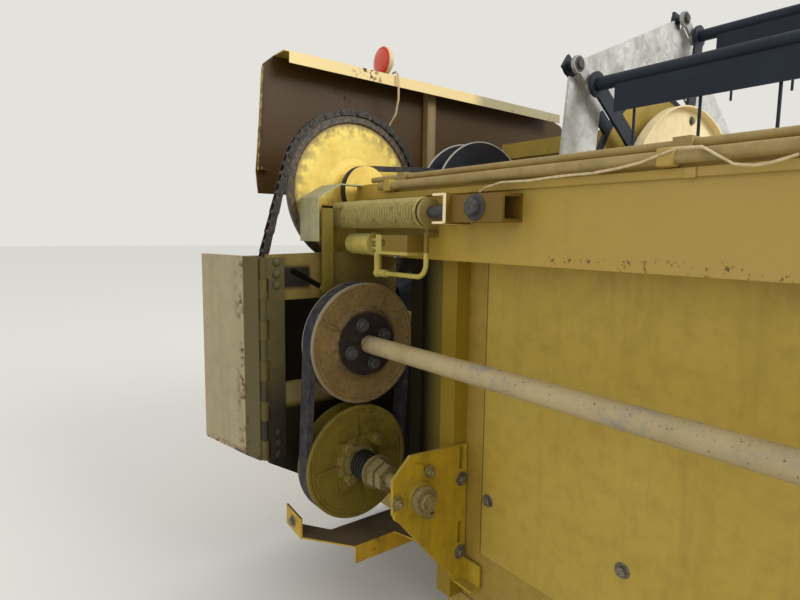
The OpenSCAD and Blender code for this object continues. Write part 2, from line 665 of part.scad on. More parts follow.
module drive_tube() color(cream) {
    rod_x(-pulley_face + eps, -pulley_face + tube_len - 60, tube_r, drive_y, drive_z);
    rod_x(-pulley_face + tube_len - 70, -pulley_face + tube_len, shaft_r, drive_y, drive_z);
    difference() {
        rod_x(-pulley_face + eps, -pulley_face + 10, 76, drive_y, drive_z);
        rod_x(-pulley_face - 5, -pulley_face + 11, tube_r - 1, drive_y, drive_z);
    }
}

module tube_bearing() color(paint) translate([tube_len - pulley_face - 190, 0, 0]) difference() {
    union() {
        side(10, 20, [[-190, 620], [-190, 740], [-3, 770], [-3, 590]]);
        rod_x(0, 30, 45, drive_y, drive_z);
    }
    rod_x(-1, 31, tube_r + run_fit, drive_y, drive_z);
}

// split pulley with a V groove, right face at x1
module pulley(x1, w, r, y, z, hub, turn) {
    g = belt_w / 2 + eps;
    translate([x1 - w, y, z]) rotate([0, 90, 0]) rotate_extrude($fn = 96)
        polygon([[shaft_r, 0], [r - 10, 0], [r, 4], [r, w / 2 - g], [r - belt_t - 2, w / 2 - g],
                 [r - 52, w / 2 - 8], [r - 52, w / 2 + 8], [r - belt_t - 2, w / 2 + g],
                 [r, w / 2 + g], [r, w - 2], [r - 3, w], [r - 8, w], [r - 11, w - 3],
                 [r - 17, w - 3], [r - 20, w - 4.5], [hub + 16, w - 9], [hub + 8, w - 2],
                 [hub + 4, w], [shaft_r, w]]);
    for (k = [0 : 3]) translate([x1, y, z]) rotate([turn + k * 90, 0, 0])
        translate([-9, hub + 10, -3]) cube([7, r - hub - 33, 6]);
}

module upper_pulley() color(tan) {
    pulley(-pulley_face, pulley_w, upper_r, drive_y, drive_z, 76, 63);
    rod_x(column_x - column_t - 18, -pulley_face - 10, shaft_r, drive_y, drive_z);
}

module lower_shaft() color(steel) {
    rod_x(-chain_x - 20, -half_cut + 85, shaft_r, lower_y, lower_z);
    rod_x(-chain_x - 8, -chain_x + 8, small_wheel_r - 9 - wrap_gap, lower_y, lower_z);
    rod_x(-pulley_face + eps, -pulley_face + 8, 42, lower_y, lower_z);
    rod_x(-pulley_face + 72, -pulley_face + 78, 40, lower_y, lower_z);
    for (n = [[79, 24, 36], [108, 20, 33]]) translate([-pulley_face + n[0], lower_y, lower_z])
        rotate([0, 90, 0]) cylinder(h = n[1], r = n[2], $fn = 6);
    translate([bracket_x + 29, lower_y, lower_z]) rotate([0, 90, 0]) cylinder(h = 9, r = 28, $fn = 6);
}

module lower_pulley() color(paint) {
    pulley(-pulley_face, pulley_w, lower_r, lower_y, lower_z, 44, 4);
    for (a = [[52, 66], [142, 66], [232, 66]]) translate([-pulley_face, lower_y, lower_z])
        rotate([a[0], 0, 0]) translate([-16, a[1], 0]) rotate([0, 90, 0]) cylinder(h = 18, r = 15, $fn = 32);
}

// open coil round the lower shaft, swept as one closed mesh
module clutch_spring() color(dark) coil(-pulley_face + 12.8, 54.4, 5, 31, 4.5, lower_y, lower_z);

module drive_belt() color(dark)
    loop_x(-pulley_face - pulley_w / 2 - belt_w / 2, -pulley_face - pulley_w / 2 + belt_w / 2,
           [[drive_y, drive_z, upper_r], [lower_y, lower_z, lower_r]], -belt_t, 0);

module tension_bracket() color(paint) difference() {
    union() {
        side(bracket_x, bracket_x + 8, [[-170, 477], [-4, 470], [-4, 159], [-63, 179], [-215, 357], [-216, 434]]);
        rod_x(bracket_x + 7, bracket_x + 28, 34, lower_y, lower_z);
        rod_x(bracket_x + 6, bracket_x + 15, 46, lower_y, lower_z);
        for (a = [90, 213, 327]) translate([bracket_x, lower_y, lower_z]) rotate([a, 0, 0]) {
            translate([5, 20, -15]) cube([9, 36, 30]);
            translate([4, 56, 0]) rotate([0, 90, 0]) cylinder(h = 9.5, r = 15, $fn = 32);
        }
        side(bracket_x + 0.5, bracket_x + 62, [[-34, 140], [-4, 140], [-4, 196], [-9, 196], [-9, 145], [-34, 145]]);
        side(bracket_x, bracket_x + 8, [[-60, 190], [-4, 190], [-4, 141], [-34, 141]]);
    }
    rod_x(bracket_x - 1, bracket_x + 29, shaft_r + run_fit, lower_y, lower_z);
    for (z = [440, 262]) block([bracket_x - 1, -28, z - 26], [bracket_x + 9, -16, z + 26]);
}

module belt_guard() color(paint) {
    translate([0, 0, 196]) linear_extrude(4) polygon([[-2205, -4.3], [-half_cut - eps, -4.3],
        [-half_cut - eps, -40], [-2104, -75], [-2104, -194], [-2214, -275], [-2272, -245], [-2205, -200]]);
    block([-half_cut - 5, -40, 196], [-half_cut - eps, -4.3, 240]);
    block([-2108, -190, 155], [-2104, -4.3, 198]);
    translate([-2214, -275, 196]) rotate([0, 0, 175]) cube([94, 5, 52]);
}

module chain_wheel() color(paint) {
    difference() {
        union() {
            translate([-chain_x - 6, pivot_y, pivot_z]) rotate([0, 90, 0]) rotate_extrude($fn = 96)
                polygon([[20, 2], [big_wheel_r - 30, 2], [big_wheel_r - 26, 0],
                         [big_wheel_r - 9 - wrap_gap, 0], [big_wheel_r - 9 - wrap_gap, 12],
                         [big_wheel_r - 26, 12], [big_wheel_r - 30, 8], [90, 8], [74, 14], [20, 14]]);
            rod_x(-chain_x - 26, -reel_belt_x + 16, 40, pivot_y, pivot_z);
            translate([-reel_belt_x - 14, pivot_y, pivot_z]) rotate([0, 90, 0]) rotate_extrude($fn = 96)
                polygon([[20, 0], [reel_drive_r, 0], [reel_drive_r - 18, 8], [reel_drive_r - 18, 20],
                         [reel_drive_r, 28], [20, 28]]);
        }
        rod_x(-chain_x - 40, -reel_belt_x + 40, shaft_r + run_fit, pivot_y, pivot_z);
    }
}

module reel_chain() color(dark)
    loop_x(-chain_x - chain_w / 2, -chain_x + chain_w / 2,
           [[pivot_y, pivot_z, big_wheel_r], [idler_y, idler_z, idler_r],
            [lower_y, lower_z, small_wheel_r]], -9, 9);

module chain_idler() color(steel) difference() {
    rod_x(-chain_x - 8, -chain_x + 8, idler_r - 9 - wrap_gap, idler_y, idler_z);
    rod_x(-chain_x - 9, -chain_x + 9, 10 + run_fit, idler_y, idler_z);
}

module reel_belt() color(dark)
    loop_x(-reel_belt_x - 8, -reel_belt_x + 8,
           [[pivot_y, pivot_z, reel_drive_r], [reel_y, reel_z, reel_pulley_r]], -belt_in, 1);

module reel_pulley() color(paint) difference() {
    translate([-reel_belt_x - 14, reel_y, reel_z]) rotate([0, 90, 0]) rotate_extrude($fn = 96)
        polygon([[shaft_r, 0], [reel_pulley_r, 0], [reel_pulley_r - 18, 8],
                 [reel_pulley_r - 18, 20], [reel_pulley_r, 28], [shaft_r, 28]]);
}

module guide_pulley() color(dark) translate([-reel_belt_x - 8, guide_y, guide_z]) rotate([0, 90, 0])
    rotate_extrude($fn = 96) polygon([[12, 0], [guide_r, 0], [guide_r, 16], [12, 16]]);

module beam_end_cover() color(paint) {
    side(beam_x0 - 84, beam_x0 + 8, [[-213, 924], [-213, 1031], [-150, beam_top], [-146, beam_top],
         [-146, beam_top - 3], [-149, beam_top - 3], [-210, 1029], [-210, 924]]);
    side(beam_x0 - 19, beam_x0 + 8, [[-151, beam_top - 3], [-151, beam_top],
         [-beam_rear - eps, beam_top], [-beam_rear - eps, beam_top - 3]]);
}

module shift_lever() color(paint) difference() {
    union() {
        block([-2334, -150, 730], [-2326, -110, 1018]);
        rod_x(-2328, column_x - column_t - eps, 12, -130, 756);
    }
    rod_x(-2336, -2324, 8, -130, 890);
}

module tension_spring() color(paint) translate([-2300, -122, 990]) for (i = [0 : 37])
    translate([i * 9.6, 0, 0]) rotate([0, 90, 0]) rotate_extrude($fn = 40) translate([30, 0]) circle(r = 4.6, $fn = 16);

module spring_rod() color(steel) {
    rod_x(-1939.5, -1931, 30, -122, 990);
    rod_x(-1940, -1800, 8, -122, 990);
    rod_x(-2325.7, -2304.9, 9, -122, 990);
    rod_x(-2309.4, -2304.9, 30, -122, 990);
    block([-1860, -150, 965], [-1852, -beam_rear - eps, 1025]);
    difference() {
        block([-1853, -138, 968], [-1718, -beam_rear - eps, 1020]);
        block([-1846, -132, 974], [-1717, -beam_rear - 6, 1014]);
        rod_x(-1850, -1840, 8, -122, 990);
    }
}

module control_cylinder() color(paint) {
    rod_x(-2240, -2150, 26, -112, 920);
    rod_x(-2152, -2142, 27.5, -112, 920);
    for (z = [907, 927]) block([-2144, -124, z], [-2108, -100, z + 7]);
    difference() {
        block([-2109, -136, 898], [-1990, -beam_rear - eps, 942]);
        translate([-2080, -137, 924]) rotate([-90, 0, 0]) cylinder(h = 30, r = 8, $fn = 32);
    }
    rod_x(-2144, -2110, 5, -112, 920);
    translate([-2134, -112, 858]) cylinder(h = 44, r = 9, $fn = 32);
    translate([-2134, -112, 852]) sphere(r = 11, $fn = 32);
    rod_x(-2134, -2098, 9, -112, 852);
    rod_x(-2100, -1985, 5.5, -112, 852);
    translate([-1985, -112, 882]) rotate([-90, 0, 0]) rotate_extrude(angle = 90, $fn = 48)
        translate([30, 0]) circle(r = 5.5, $fn = 24);
    translate([-1955, -112, 882]) cylinder(h = 66, r = 5.5, $fn = 24);
    translate([-1955, -112, 946]) rotate([-90, 0, 0]) cylinder(h = 27.7, r = 8, $fn = 24);
}

module hydraulic_lines() color(paint) {
    for (y = [-60, -30]) {
        rod_x(beam_x0 + 20, -320, 7, y, beam_top + 12);
        rod_x(-324, -296, 11, y, beam_top + 12);
    }
    for (x = [-2100, -1440, -860, -380])
        block([x - 14, -72, beam_top + eps], [x + 14, -18, beam_top + 22]);
}

// route of the lamp's cable over the flange and down the sheet, then along the beam
cable_r = 3.5;
cable_hood = [[-2512, 205, 1444], [-2497, 207, 1446], [-2490, 209, 1436], [-2489, 211, 1405],
              [-2496, 216, 1365], [-2512, 218, 1322], [-2532, 200, 1276], [-2549, 158, 1232],
              [-2560, 100, 1196], [-2562.2, 40, 1162], [-2562.2, -20, 1124], [-2562.2, -60, 1090]];
cable_beam = [[-2215, 18, 1072], [-2160, 14, 1070], [-2080, 4, 1070], [-1960, 12, 1070],
              [-1840, 22, 1070], [-1700, 20, 1070], [-1600, 10, 1070], [-1520, -4, 1070],
              [-1470, -2, 1070], [-1380, 14, 1070], [-1240, 20, 1070], [-1080, 10, 1070],
              [-900, 14, 1070], [-700, 8, 1070], [-520, 12, 1070], [-400, 16, 1070]];

// tube of radius r swept along points, one ring at each, closed at both ends
module sweep(pts, r) {
    n = len(pts);
    m = 8;
    dir = [for (i = [0 : n - 1])
        let (d = pts[min(i + 1, n - 1)] - pts[max(i - 1, 0)]) d / norm(d)];
    rings = [for (i = [0 : n - 1], j = [0 : m - 1])
        let (s0 = cross(dir[i], abs(dir[i][2]) > 0.8 ? [0, 1, 0] : [0, 0, 1]), s = s0 / norm(s0),
             t = cross(dir[i], s))
        pts[i] + r * (cos(j * 45) * s + sin(j * 45) * t)];
    caps = [[for (j = [0 : m - 1]) j], [for (j = [m - 1 : -1 : 0]) (n - 1) * m + j]];
    walls = [for (i = [0 : n - 2], j = [0 : m - 1], h = [0, 1])
        let (a = i * m + j, b = i * m + (j + 1) % m)
        h == 0 ? [a, a + m, b + m] : [a, b + m, b]];
    polyhedron(points = rings, faces = concat(caps, walls));
}

module lamp_cable() color(cream) {
    sweep(cable_hood, cable_r);
    sweep(cable_beam, cable_r);
}

module marker_lamp() color([0.85, 0.25, 0.1]) {
    translate([-shield_x + 36, 203, shield_top + 40]) rotate([90, 0, 0]) rotate_extrude($fn = 64)
        polygon([[0, 0], [lamp_r - 14, 0], [lamp_r, 12], [lamp_r, 26], [lamp_r - 4, 29],
                 [lamp_r - 6, 27], [lamp_r - 7, 30], [lamp_r * 0.6, 34], [0, 36]]);
}

// door in plan from its hinge, drawn shut: width along -X, folded edges towards +Y
module shield_door() color(tan) translate([hinge_x, hinge_y, door_z]) rotate([0, 0, door_ajar])
    difference() {
        union() {
            linear_extrude(door_h) polygon([[-8, -10], [-60, -14], [-door_w, -14],
                [-door_w - 2, door_d - 14], [-60, door_d - 14], [-8, 2]]);
            for (k = [0 : 4]) translate([0, 0, 2.5 + k * 2 * knuckle_h]) {
                cylinder(h = knuckle_h - 1, r = 8, $fn = 48);
                translate([-11, -7.5, 0]) cube([7, 6, knuckle_h - 1]);
            }
        }
        translate([0, 0, -1]) cylinder(h = door_h + 2, r = hinge_pin_r + eps, $fn = 48);
        translate([0, 0, 3]) linear_extrude(door_h - 6) polygon([[-11, -7], [-60, -11],
            [3 - door_w, -11], [1 - door_w, door_d], [-60, door_d], [-11, 8]]);
    }

module door_hinge() color(steel) {
    difference() {
        block([hinge_x + 2, hinge_y, door_z + 2], [hinge_x + 6, hinge_y + 50, door_z + door_h - 2]);
        for (k = [0 : 4]) translate([hinge_x, hinge_y - 1, door_z + 2 + k * 2 * knuckle_h])
            cube([7, 11, knuckle_h]);
        for (z = [12, 40, 66, door_h - 66, door_h - 40, door_h - 12])
            translate([hinge_x, hinge_y + 30, door_z + z]) rotate([0, 90, 0]) cylinder(h = 8, r = 3.5, $fn = 24);
    }
    translate([hinge_x, hinge_y, door_z + 2]) cylinder(h = door_h - 4, r = hinge_pin_r, $fn = 48);
    for (k = [0 : 4]) translate([hinge_x, hinge_y, door_z + 2.5 + (k * 2 + 1) * knuckle_h])
        cylinder(h = knuckle_h - 1, r = 8, $fn = 48);
}

top_beam();
back_sheet();
rear_panels();
end_posts();
bottom_beam();
floor_pan();
feeder_frame();
end_sheets();
outrigger_tubes();
drive_column();
end_shield_left();
side_covers();
crop_dividers();
skid_shoes();
cutter_bar();
guards();
knife();
knife_drive_box();
auger_bearings();
auger();
auger_flights();
reel_arms();
lift_barrels();
lift_rods();
reel_tube();
reel_spiders();
bat_1();
bat_2();
bat_3();
bat_4();
bat_5();
bat_6();
control_ring();
control_arms();
drive_tube();
tube_bearing();
upper_pulley();
lower_shaft();
lower_pulley();
clutch_spring();
drive_belt();
tension_bracket();
belt_guard();
chain_wheel();
reel_chain();
chain_idler();
reel_belt();
reel_pulley();
guide_pulley();
beam_end_cover();
shift_lever();
tension_spring();
spring_rod();
control_cylinder();
hydraulic_lines();
marker_lamp();
lamp_cable();
shield_door();
door_hinge();
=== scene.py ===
import contextlib
import json
import math

import bpy
from mathutils import Matrix, Vector


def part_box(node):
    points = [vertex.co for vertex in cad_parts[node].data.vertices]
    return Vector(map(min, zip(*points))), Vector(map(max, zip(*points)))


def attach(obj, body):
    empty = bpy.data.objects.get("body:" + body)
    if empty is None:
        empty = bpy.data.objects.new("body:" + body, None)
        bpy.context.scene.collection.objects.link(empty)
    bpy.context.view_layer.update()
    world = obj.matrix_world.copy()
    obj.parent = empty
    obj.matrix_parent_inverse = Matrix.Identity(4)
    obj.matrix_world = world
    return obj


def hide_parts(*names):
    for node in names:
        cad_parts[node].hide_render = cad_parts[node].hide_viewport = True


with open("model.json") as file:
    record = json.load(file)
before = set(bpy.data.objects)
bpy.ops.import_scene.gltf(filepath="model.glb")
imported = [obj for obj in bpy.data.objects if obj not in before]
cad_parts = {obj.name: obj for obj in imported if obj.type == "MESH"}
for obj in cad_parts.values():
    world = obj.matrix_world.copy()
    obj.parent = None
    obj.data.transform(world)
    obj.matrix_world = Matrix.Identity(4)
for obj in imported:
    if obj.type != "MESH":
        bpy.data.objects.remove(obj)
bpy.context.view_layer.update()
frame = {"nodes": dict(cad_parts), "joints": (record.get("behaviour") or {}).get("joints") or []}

bl_info = {
    "name": "Grain Header Finishes",
    "version": (1, 0, 0),
    "blender": (4, 5, 0),
    "location": "View3D > Sidebar > Header",
    "description": "Finishes, fasteners, chain, springs and studio for a combine grain header",
    "category": "Object",
}

JOINTS = {j["name"]: Vector(j["pos_m"]) for j in frame["joints"] if "pos_m" in j}
X, Y, Z = Vector((1, 0, 0)), Vector((0, 1, 0)), Vector((0, 0, 1))


def mm(*values):
    """A point or size given in millimetres, in metres."""
    return Vector(values) / 1000


def linear(colour):
    """Linear RGBA of an sRGB hex colour."""
    parts = [int(colour[i:i + 2], 16) / 255 for i in (1, 3, 5)]
    parts = [c / 12.92 if c <= 0.04045 else ((c + 0.055) / 1.055) ** 2.4 for c in parts]
    return (*parts, 1.0)


# Reel geometry, from the joints of the frame
REEL = JOINTS["reel_spin"]
BATS = [JOINTS[name] for name in sorted(JOINTS) if name.startswith("bat_")]
REEL_HALF = -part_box("bat_1")[0].x - 0.040
DISC = (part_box("reel_tube")[1].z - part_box("reel_tube")[0].z) / 2
CRANK = JOINTS["control_ring_spin"] - Vector((JOINTS["control_ring_spin"].x, REEL.y, REEL.z))
DRIVE = JOINTS["drive_spin"]
LOWER = JOINTS["lower_shaft_spin"]
PIVOT = JOINTS["chain_wheel_spin"]
IDLER = JOINTS["chain_idler_spin"]
AUGER = JOINTS["auger_spin"]
GUIDE = JOINTS["guide_pulley_spin"]

# Studio, in metres and degrees: the camera was fitted to the photograph, its lens is in mm
CAMERA_PLACE = (-1.021, -0.894, 0.944)
CAMERA_YAW_PITCH_ROLL = (52.63, 6.60, 0.73)
CAMERA_LENS, CAMERA_SENSOR = 25.60, 36
KEY_PLACE, KEY_AIM, KEY_SIZE = Vector((4.0, 2.4, 5.0)), Vector((-1.9, 0.2, 1.0)), 4.0

TINES = 24


# Nodes

def add(tree, kind, settings=None, links=None):
    """Add a shader node, with attributes or input values, and links as input: (node, output)."""
    node = tree.nodes.new("ShaderNode" + kind)
    for key, value in (settings or {}).items():
        if isinstance(key, int) or key in node.inputs:
            node.inputs[key].default_value = value
        else:
            setattr(node, key, value)
    for key, (source, output) in (links or {}).items():
        tree.links.new(source.outputs[output], node.inputs[key])
    return node


def new_material(name, *nodes):
    """Tree of a new material, given to nodes of the frame, with Object coordinates and output."""
    material = bpy.data.materials.new(name)
    for node in nodes:
        for slot in frame["nodes"][node].material_slots:
            slot.material = material
    material.use_nodes = True
    tree = material.node_tree
    tree.nodes.clear()
    add(tree, "TexCoord", {"name": "place"})
    add(tree, "OutputMaterial", {"name": "output"})
    return tree


def place(tree):
    """Object coordinates of the material, as (node, output)."""
    return tree.nodes["place"], "Object"


def patches(tree, size_mm, low, high, detail=4.0, at=None):
    """Mask of irregular patches about size_mm across, rising from low to high of a noise."""
    noise = add(tree, "TexNoise",
                {"Scale": 1000 / size_mm, "Detail": detail, "Roughness": 0.62},
                {"Vector": at or place(tree)})
    mask = add(tree, "MapRange", {"From Min": low, "From Max": high}, {"Value": (noise, 0)})
    return mask, 0


def overlay(tree, under, over, mask, amount=1.0):
    """One colour over another where the mask is; each is a hex colour or a (node, output)."""
    scaled = add(tree, "Math", {"operation": "MULTIPLY", 1: amount}, {0: mask})
    settings, links = {"data_type": "RGBA"}, {0: (scaled, 0)}
    for socket, colour in ((6, under), (7, over)):
        if isinstance(colour, str):
            settings[socket] = linear(colour)
        else:
            links[socket] = colour
    return add(tree, "Mix", settings, links), 2


def product(tree, *masks):
    """All the masks multiplied."""
    total = masks[0]
    for mask in masks[1:]:
        total = add(tree, "Math", {"operation": "MULTIPLY", "use_clamp": True},
                    {0: total, 1: mask}), 0
    return total


def widest(tree, *masks):
    """The larger of the masks at each point."""
    total = masks[0]
    for mask in masks[1:]:
        total = add(tree, "Math", {"operation": "MAXIMUM"}, {0: total, 1: mask}), 0
    return total


def band(tree, axis, at_mm, reach_mm):
    """Mask that is 1 at a plane across an axis and fades out within reach_mm of it."""
    split = add(tree, "SeparateXYZ", {}, {0: place(tree)})
    off = add(tree, "Math", {"operation": "SUBTRACT", 1: at_mm / 1000}, {0: (split, axis)})
    far = add(tree, "Math", {"operation": "ABSOLUTE"}, {0: (off, 0)})
    mask = add(tree, "MapRange", {"From Min": reach_mm / 1000, "From Max": 0.0},
               {"Value": (far, 0)})
    return mask, 0


def beyond(tree, axis, at_mm, soft_mm):
    """Mask that rises from 0 to 1 over soft_mm past a plane; a negative width rises the other way."""
    split = add(tree, "SeparateXYZ", {}, {0: place(tree)})
    mask = add(tree, "MapRange",
               {"From Min": at_mm / 1000, "From Max": (at_mm + soft_mm) / 1000},
               {"Value": (split, axis)})
    return mask, 0


def ring_mask(tree, centre, inner_mm, outer_mm):
    """Mask that rises from 0 at one radius about a line along X to 1 at another."""
    split = add(tree, "SeparateXYZ", {}, {0: place(tree)})
    dy = add(tree, "Math", {"operation": "SUBTRACT", 1: centre.y}, {0: (split, 1)})
    dz = add(tree, "Math", {"operation": "SUBTRACT", 1: centre.z}, {0: (split, 2)})
    joined = add(tree, "CombineXYZ", {}, {0: (dy, 0), 1: (dz, 0)})
    length = add(tree, "VectorMath", {"operation": "LENGTH"}, {0: (joined, 0)})
    mask = add(tree, "MapRange",
               {"From Min": inner_mm / 1000, "From Max": outer_mm / 1000}, {"Value": (length, 1)})
    return mask, 0


def facing(tree, axis, low, high):
    """Mask that rises as the surface's normal along an axis goes from low to high."""
    surface = add(tree, "NewGeometry")
    split = add(tree, "SeparateXYZ", {}, {0: (surface, "Normal")})
    return add(tree, "MapRange", {"From Min": low, "From Max": high},
               {"Value": (split, axis)}), 0


def streaks(tree, width_mm, low, high):
    """Mask of vertical runs about width_mm wide, as rain leaves them."""
    stretch = add(tree, "Mapping", {"Scale": (1, 1, 0.06)}, {"Vector": place(tree)})
    return patches(tree, width_mm, low, high, 3.0, (stretch, 0))


def relief(tree, *bumps):
    """Bumps laid on one another, each a height, strength and depth in mm; the height is a mask or
    the size in mm of a grain."""
    normal = None
    for height, strength, depth in bumps:
        if not isinstance(height, tuple):
            height = patches(tree, height, 0.3, 0.7)
        links = {"Height": height}
        if normal:
            links["Normal"] = normal
        normal = add(tree, "Bump", {"Strength": strength, "Distance": depth / 1000},
                     links), 0
    return normal


def close(tree, colour, roughness, normal, metallic=0.0, coat=0.0, level=0.5):
    """Shade the colour and relief, and join them to the output; the roughness is a number or
    (where the mask is 0, where it is 1, mask)."""
    settings, links = {"Specular IOR Level": level}, {"Base Color": colour, "Normal": normal}
    if isinstance(roughness, tuple):
        clear, covered, mask = roughness
        roughness = add(tree, "MapRange", {"To Min": clear, "To Max": covered},
                        {"Value": mask}), 0
    for socket, value in (("Metallic", metallic), ("Roughness", roughness)):
        (settings if isinstance(value, float) else links)[socket] = value
    if coat:
        settings.update({"Coat Weight": coat, "Coat Roughness": 0.3})
    shader = add(tree, "BsdfPrincipled", settings, links)
    tree.links.new(shader.outputs[0], tree.nodes["output"].inputs[0])


# Materials

CREAM = "Cream enamel on steel tube"
ZINC = "Zinc-plated fastener"
HUB_BOLT = "Hub bolt in dry grease"
OILED_NUT = "Shaft nut, oiled"
GREASY = "Roller chain steel in grease"
VINYL = "Cable sheath in cream vinyl"


def rust_colour(tree):
    """Iron oxide, dark brown with brighter scale."""
    return overlay(tree, "#38261C", "#5E3E2A", patches(tree, 6, 0.4, 0.65))


def sprayed_enamel(name, nodes, coat, faded, dirt, dust, chips, stain, layers=(), rust_at=None):
    """Alkyd enamel sprayed on steel or iron: satin, chalky where the sun has bleached it,
    with rain runs, dust on what faces up, and small chips that have rusted brown."""
    tree = new_material(name, *nodes)
    base = overlay(tree, coat, faded, patches(tree, 420, 0.38, 0.62))
    base = overlay(tree, base, dirt, patches(tree, 34, 0.44, 0.72), 0.32)
    base = overlay(tree, base, dirt, streaks(tree, 38, 0.52, 0.72), stain)
    metal = 0.0
    for tint, where, *metallic in layers:
        mask = where(tree)
        base = overlay(tree, base, tint, mask)
        if metallic:
            metal = add(tree, "Math", {"operation": "MULTIPLY", 1: metallic[0]}, {0: mask}), 0
    settled = product(tree, facing(tree, 2, 0.25, 0.9), patches(tree, 70, 0.3, 0.6))
    base = overlay(tree, base, dust, settled, 0.55)
    rusted = product(tree, patches(tree, 210, chips - 0.06, chips + 0.04),
                     patches(tree, 11, 0.52, 0.58))
    if rust_at:
        worn = product(tree, rust_at(tree), patches(tree, 20, 0.44, 0.54))
        rusted = widest(tree, rusted, worn)
    colour = overlay(tree, base, rust_colour(tree), rusted)
    pits = add(tree, "Math", {"operation": "SUBTRACT", 0: 1.0}, {1: rusted}), 0
    dents = patches(tree, 260, 0.3, 0.7, 1.0)
    normal = relief(tree, (dents, 0.55, 5.0), (2.5, 0.12, 0.3), (pits, 0.5, 0.5))
    close(tree, colour, (0.48, 0.9, widest(tree, rusted, settled)), normal, metal, level=0.3)


def region(*limits, joined=product):
    """Mask function of limits, each a kind of mask and its values, multiplied unless told."""
    def mask(tree):
        return joined(tree, *(kind(tree, *values) for kind, *values in limits))
    return mask


# Box beam: the top coat lost towards the middle, a browner stretch, chips through it at the foot
beam_black = region((beyond, 0, -900, 250), (beyond, 0, -100, -300), (band, 2, 905, 60))
beam_brown = region((beyond, 0, -1900, 500))
beam_specks = region((band, 2, 899, 16), (patches, 9, 0.6, 0.62), (beyond, 0, -1680, 40))
# Hood: torn lower edge and hem; the lip that faces the sun, with painted sunlight that is duller at its
# far end; painted shade on the inner face; the channel painted paler as a lit face
hood_edge = region((band, 2, 1060, 60), (band, 2, 896, 26), (band, 1, -225, 26), joined=widest)
hood_lip_sunlit = region((beyond, 0, -2502.5, 1), (beyond, 2, 1380, 10))
lip_far_end_duller = region((hood_lip_sunlit,), (beyond, 1, 540, 60))
hood_inside_shade = region((facing, 0, 0.3, 0.7))
hood_channel_lit = region((beyond, 0, -2565, 2), (band, 1, 393, 60), (beyond, 0, -2520, -4))
# Column plate: sloping foot and slots, lower half in painted shade, crossbar, grease beside the chain
# wheel
column_edge = region((band, 2, 320, 50), (band, 1, -343, 9), joined=widest)
column_foot_shade = region((beyond, 2, 533, -12))
column_bar = region((beyond, 2, 533, 5), (beyond, 2, 586, -5))
column_smear = region((beyond, 2, 806, 12), (beyond, 2, 872, -12), (beyond, 1, -226, -10))
# Back: seams where the sheets meet the posts and the lower beam; the wing turning olive and its outer
# part black, painted shade with grime towards the pulleys; the end post's lip towards the bearing, in
# painted shade
panel_seam = region((band, 2, 219, 3), (band, 0, -1876, 3), (band, 0, 1876, 3), joined=widest)
wing_olive_shade_and_grime = region((beyond, 0, -1984, -8))
wing_black_shade_and_grime = region((beyond, 0, -2030, -45))
post_lip_shade = region((beyond, 0, -1926, -6))
# Door: the bend beside its hinge rubbed bare, its lower corners, its narrow strip, the leaf's foot
door_rubbed = region((band, 0, -2320, 34), (patches, 75, 0.5, 0.56))
door_bend = region((door_rubbed,), (band, 2, 402, 16), joined=widest)
door_strip = region((beyond, 0, -2314, 3))
leaf_foot = region((beyond, 2, 640, -120))
# Small parts: what faces up on the belt guard, darker as painted shade with an oil film, the left
# cover's inner face in painted shade, the valve block, the spring's end disc and the box of its bolt,
# the bats' left cranks, the guide sheave's rim
guard_top_shade_and_oil = region((facing, 2, 0.4, 0.8))
cover_inside_shade = region((facing, 0, 0.5, 0.8), (beyond, 0, 0, -10))
valve_block = region((beyond, 0, -2088, 3), (beyond, 2, 903, 3))
rod_disc = region((band, 0, -1935, 8))
anchor_block = region((beyond, 0, -1861, 0.5))
crank_end = region((beyond, 0, -1000 * REEL_HALF - 28, -1))
sheave_rim = region((ring_mask, GUIDE, 186.5, 187.5))


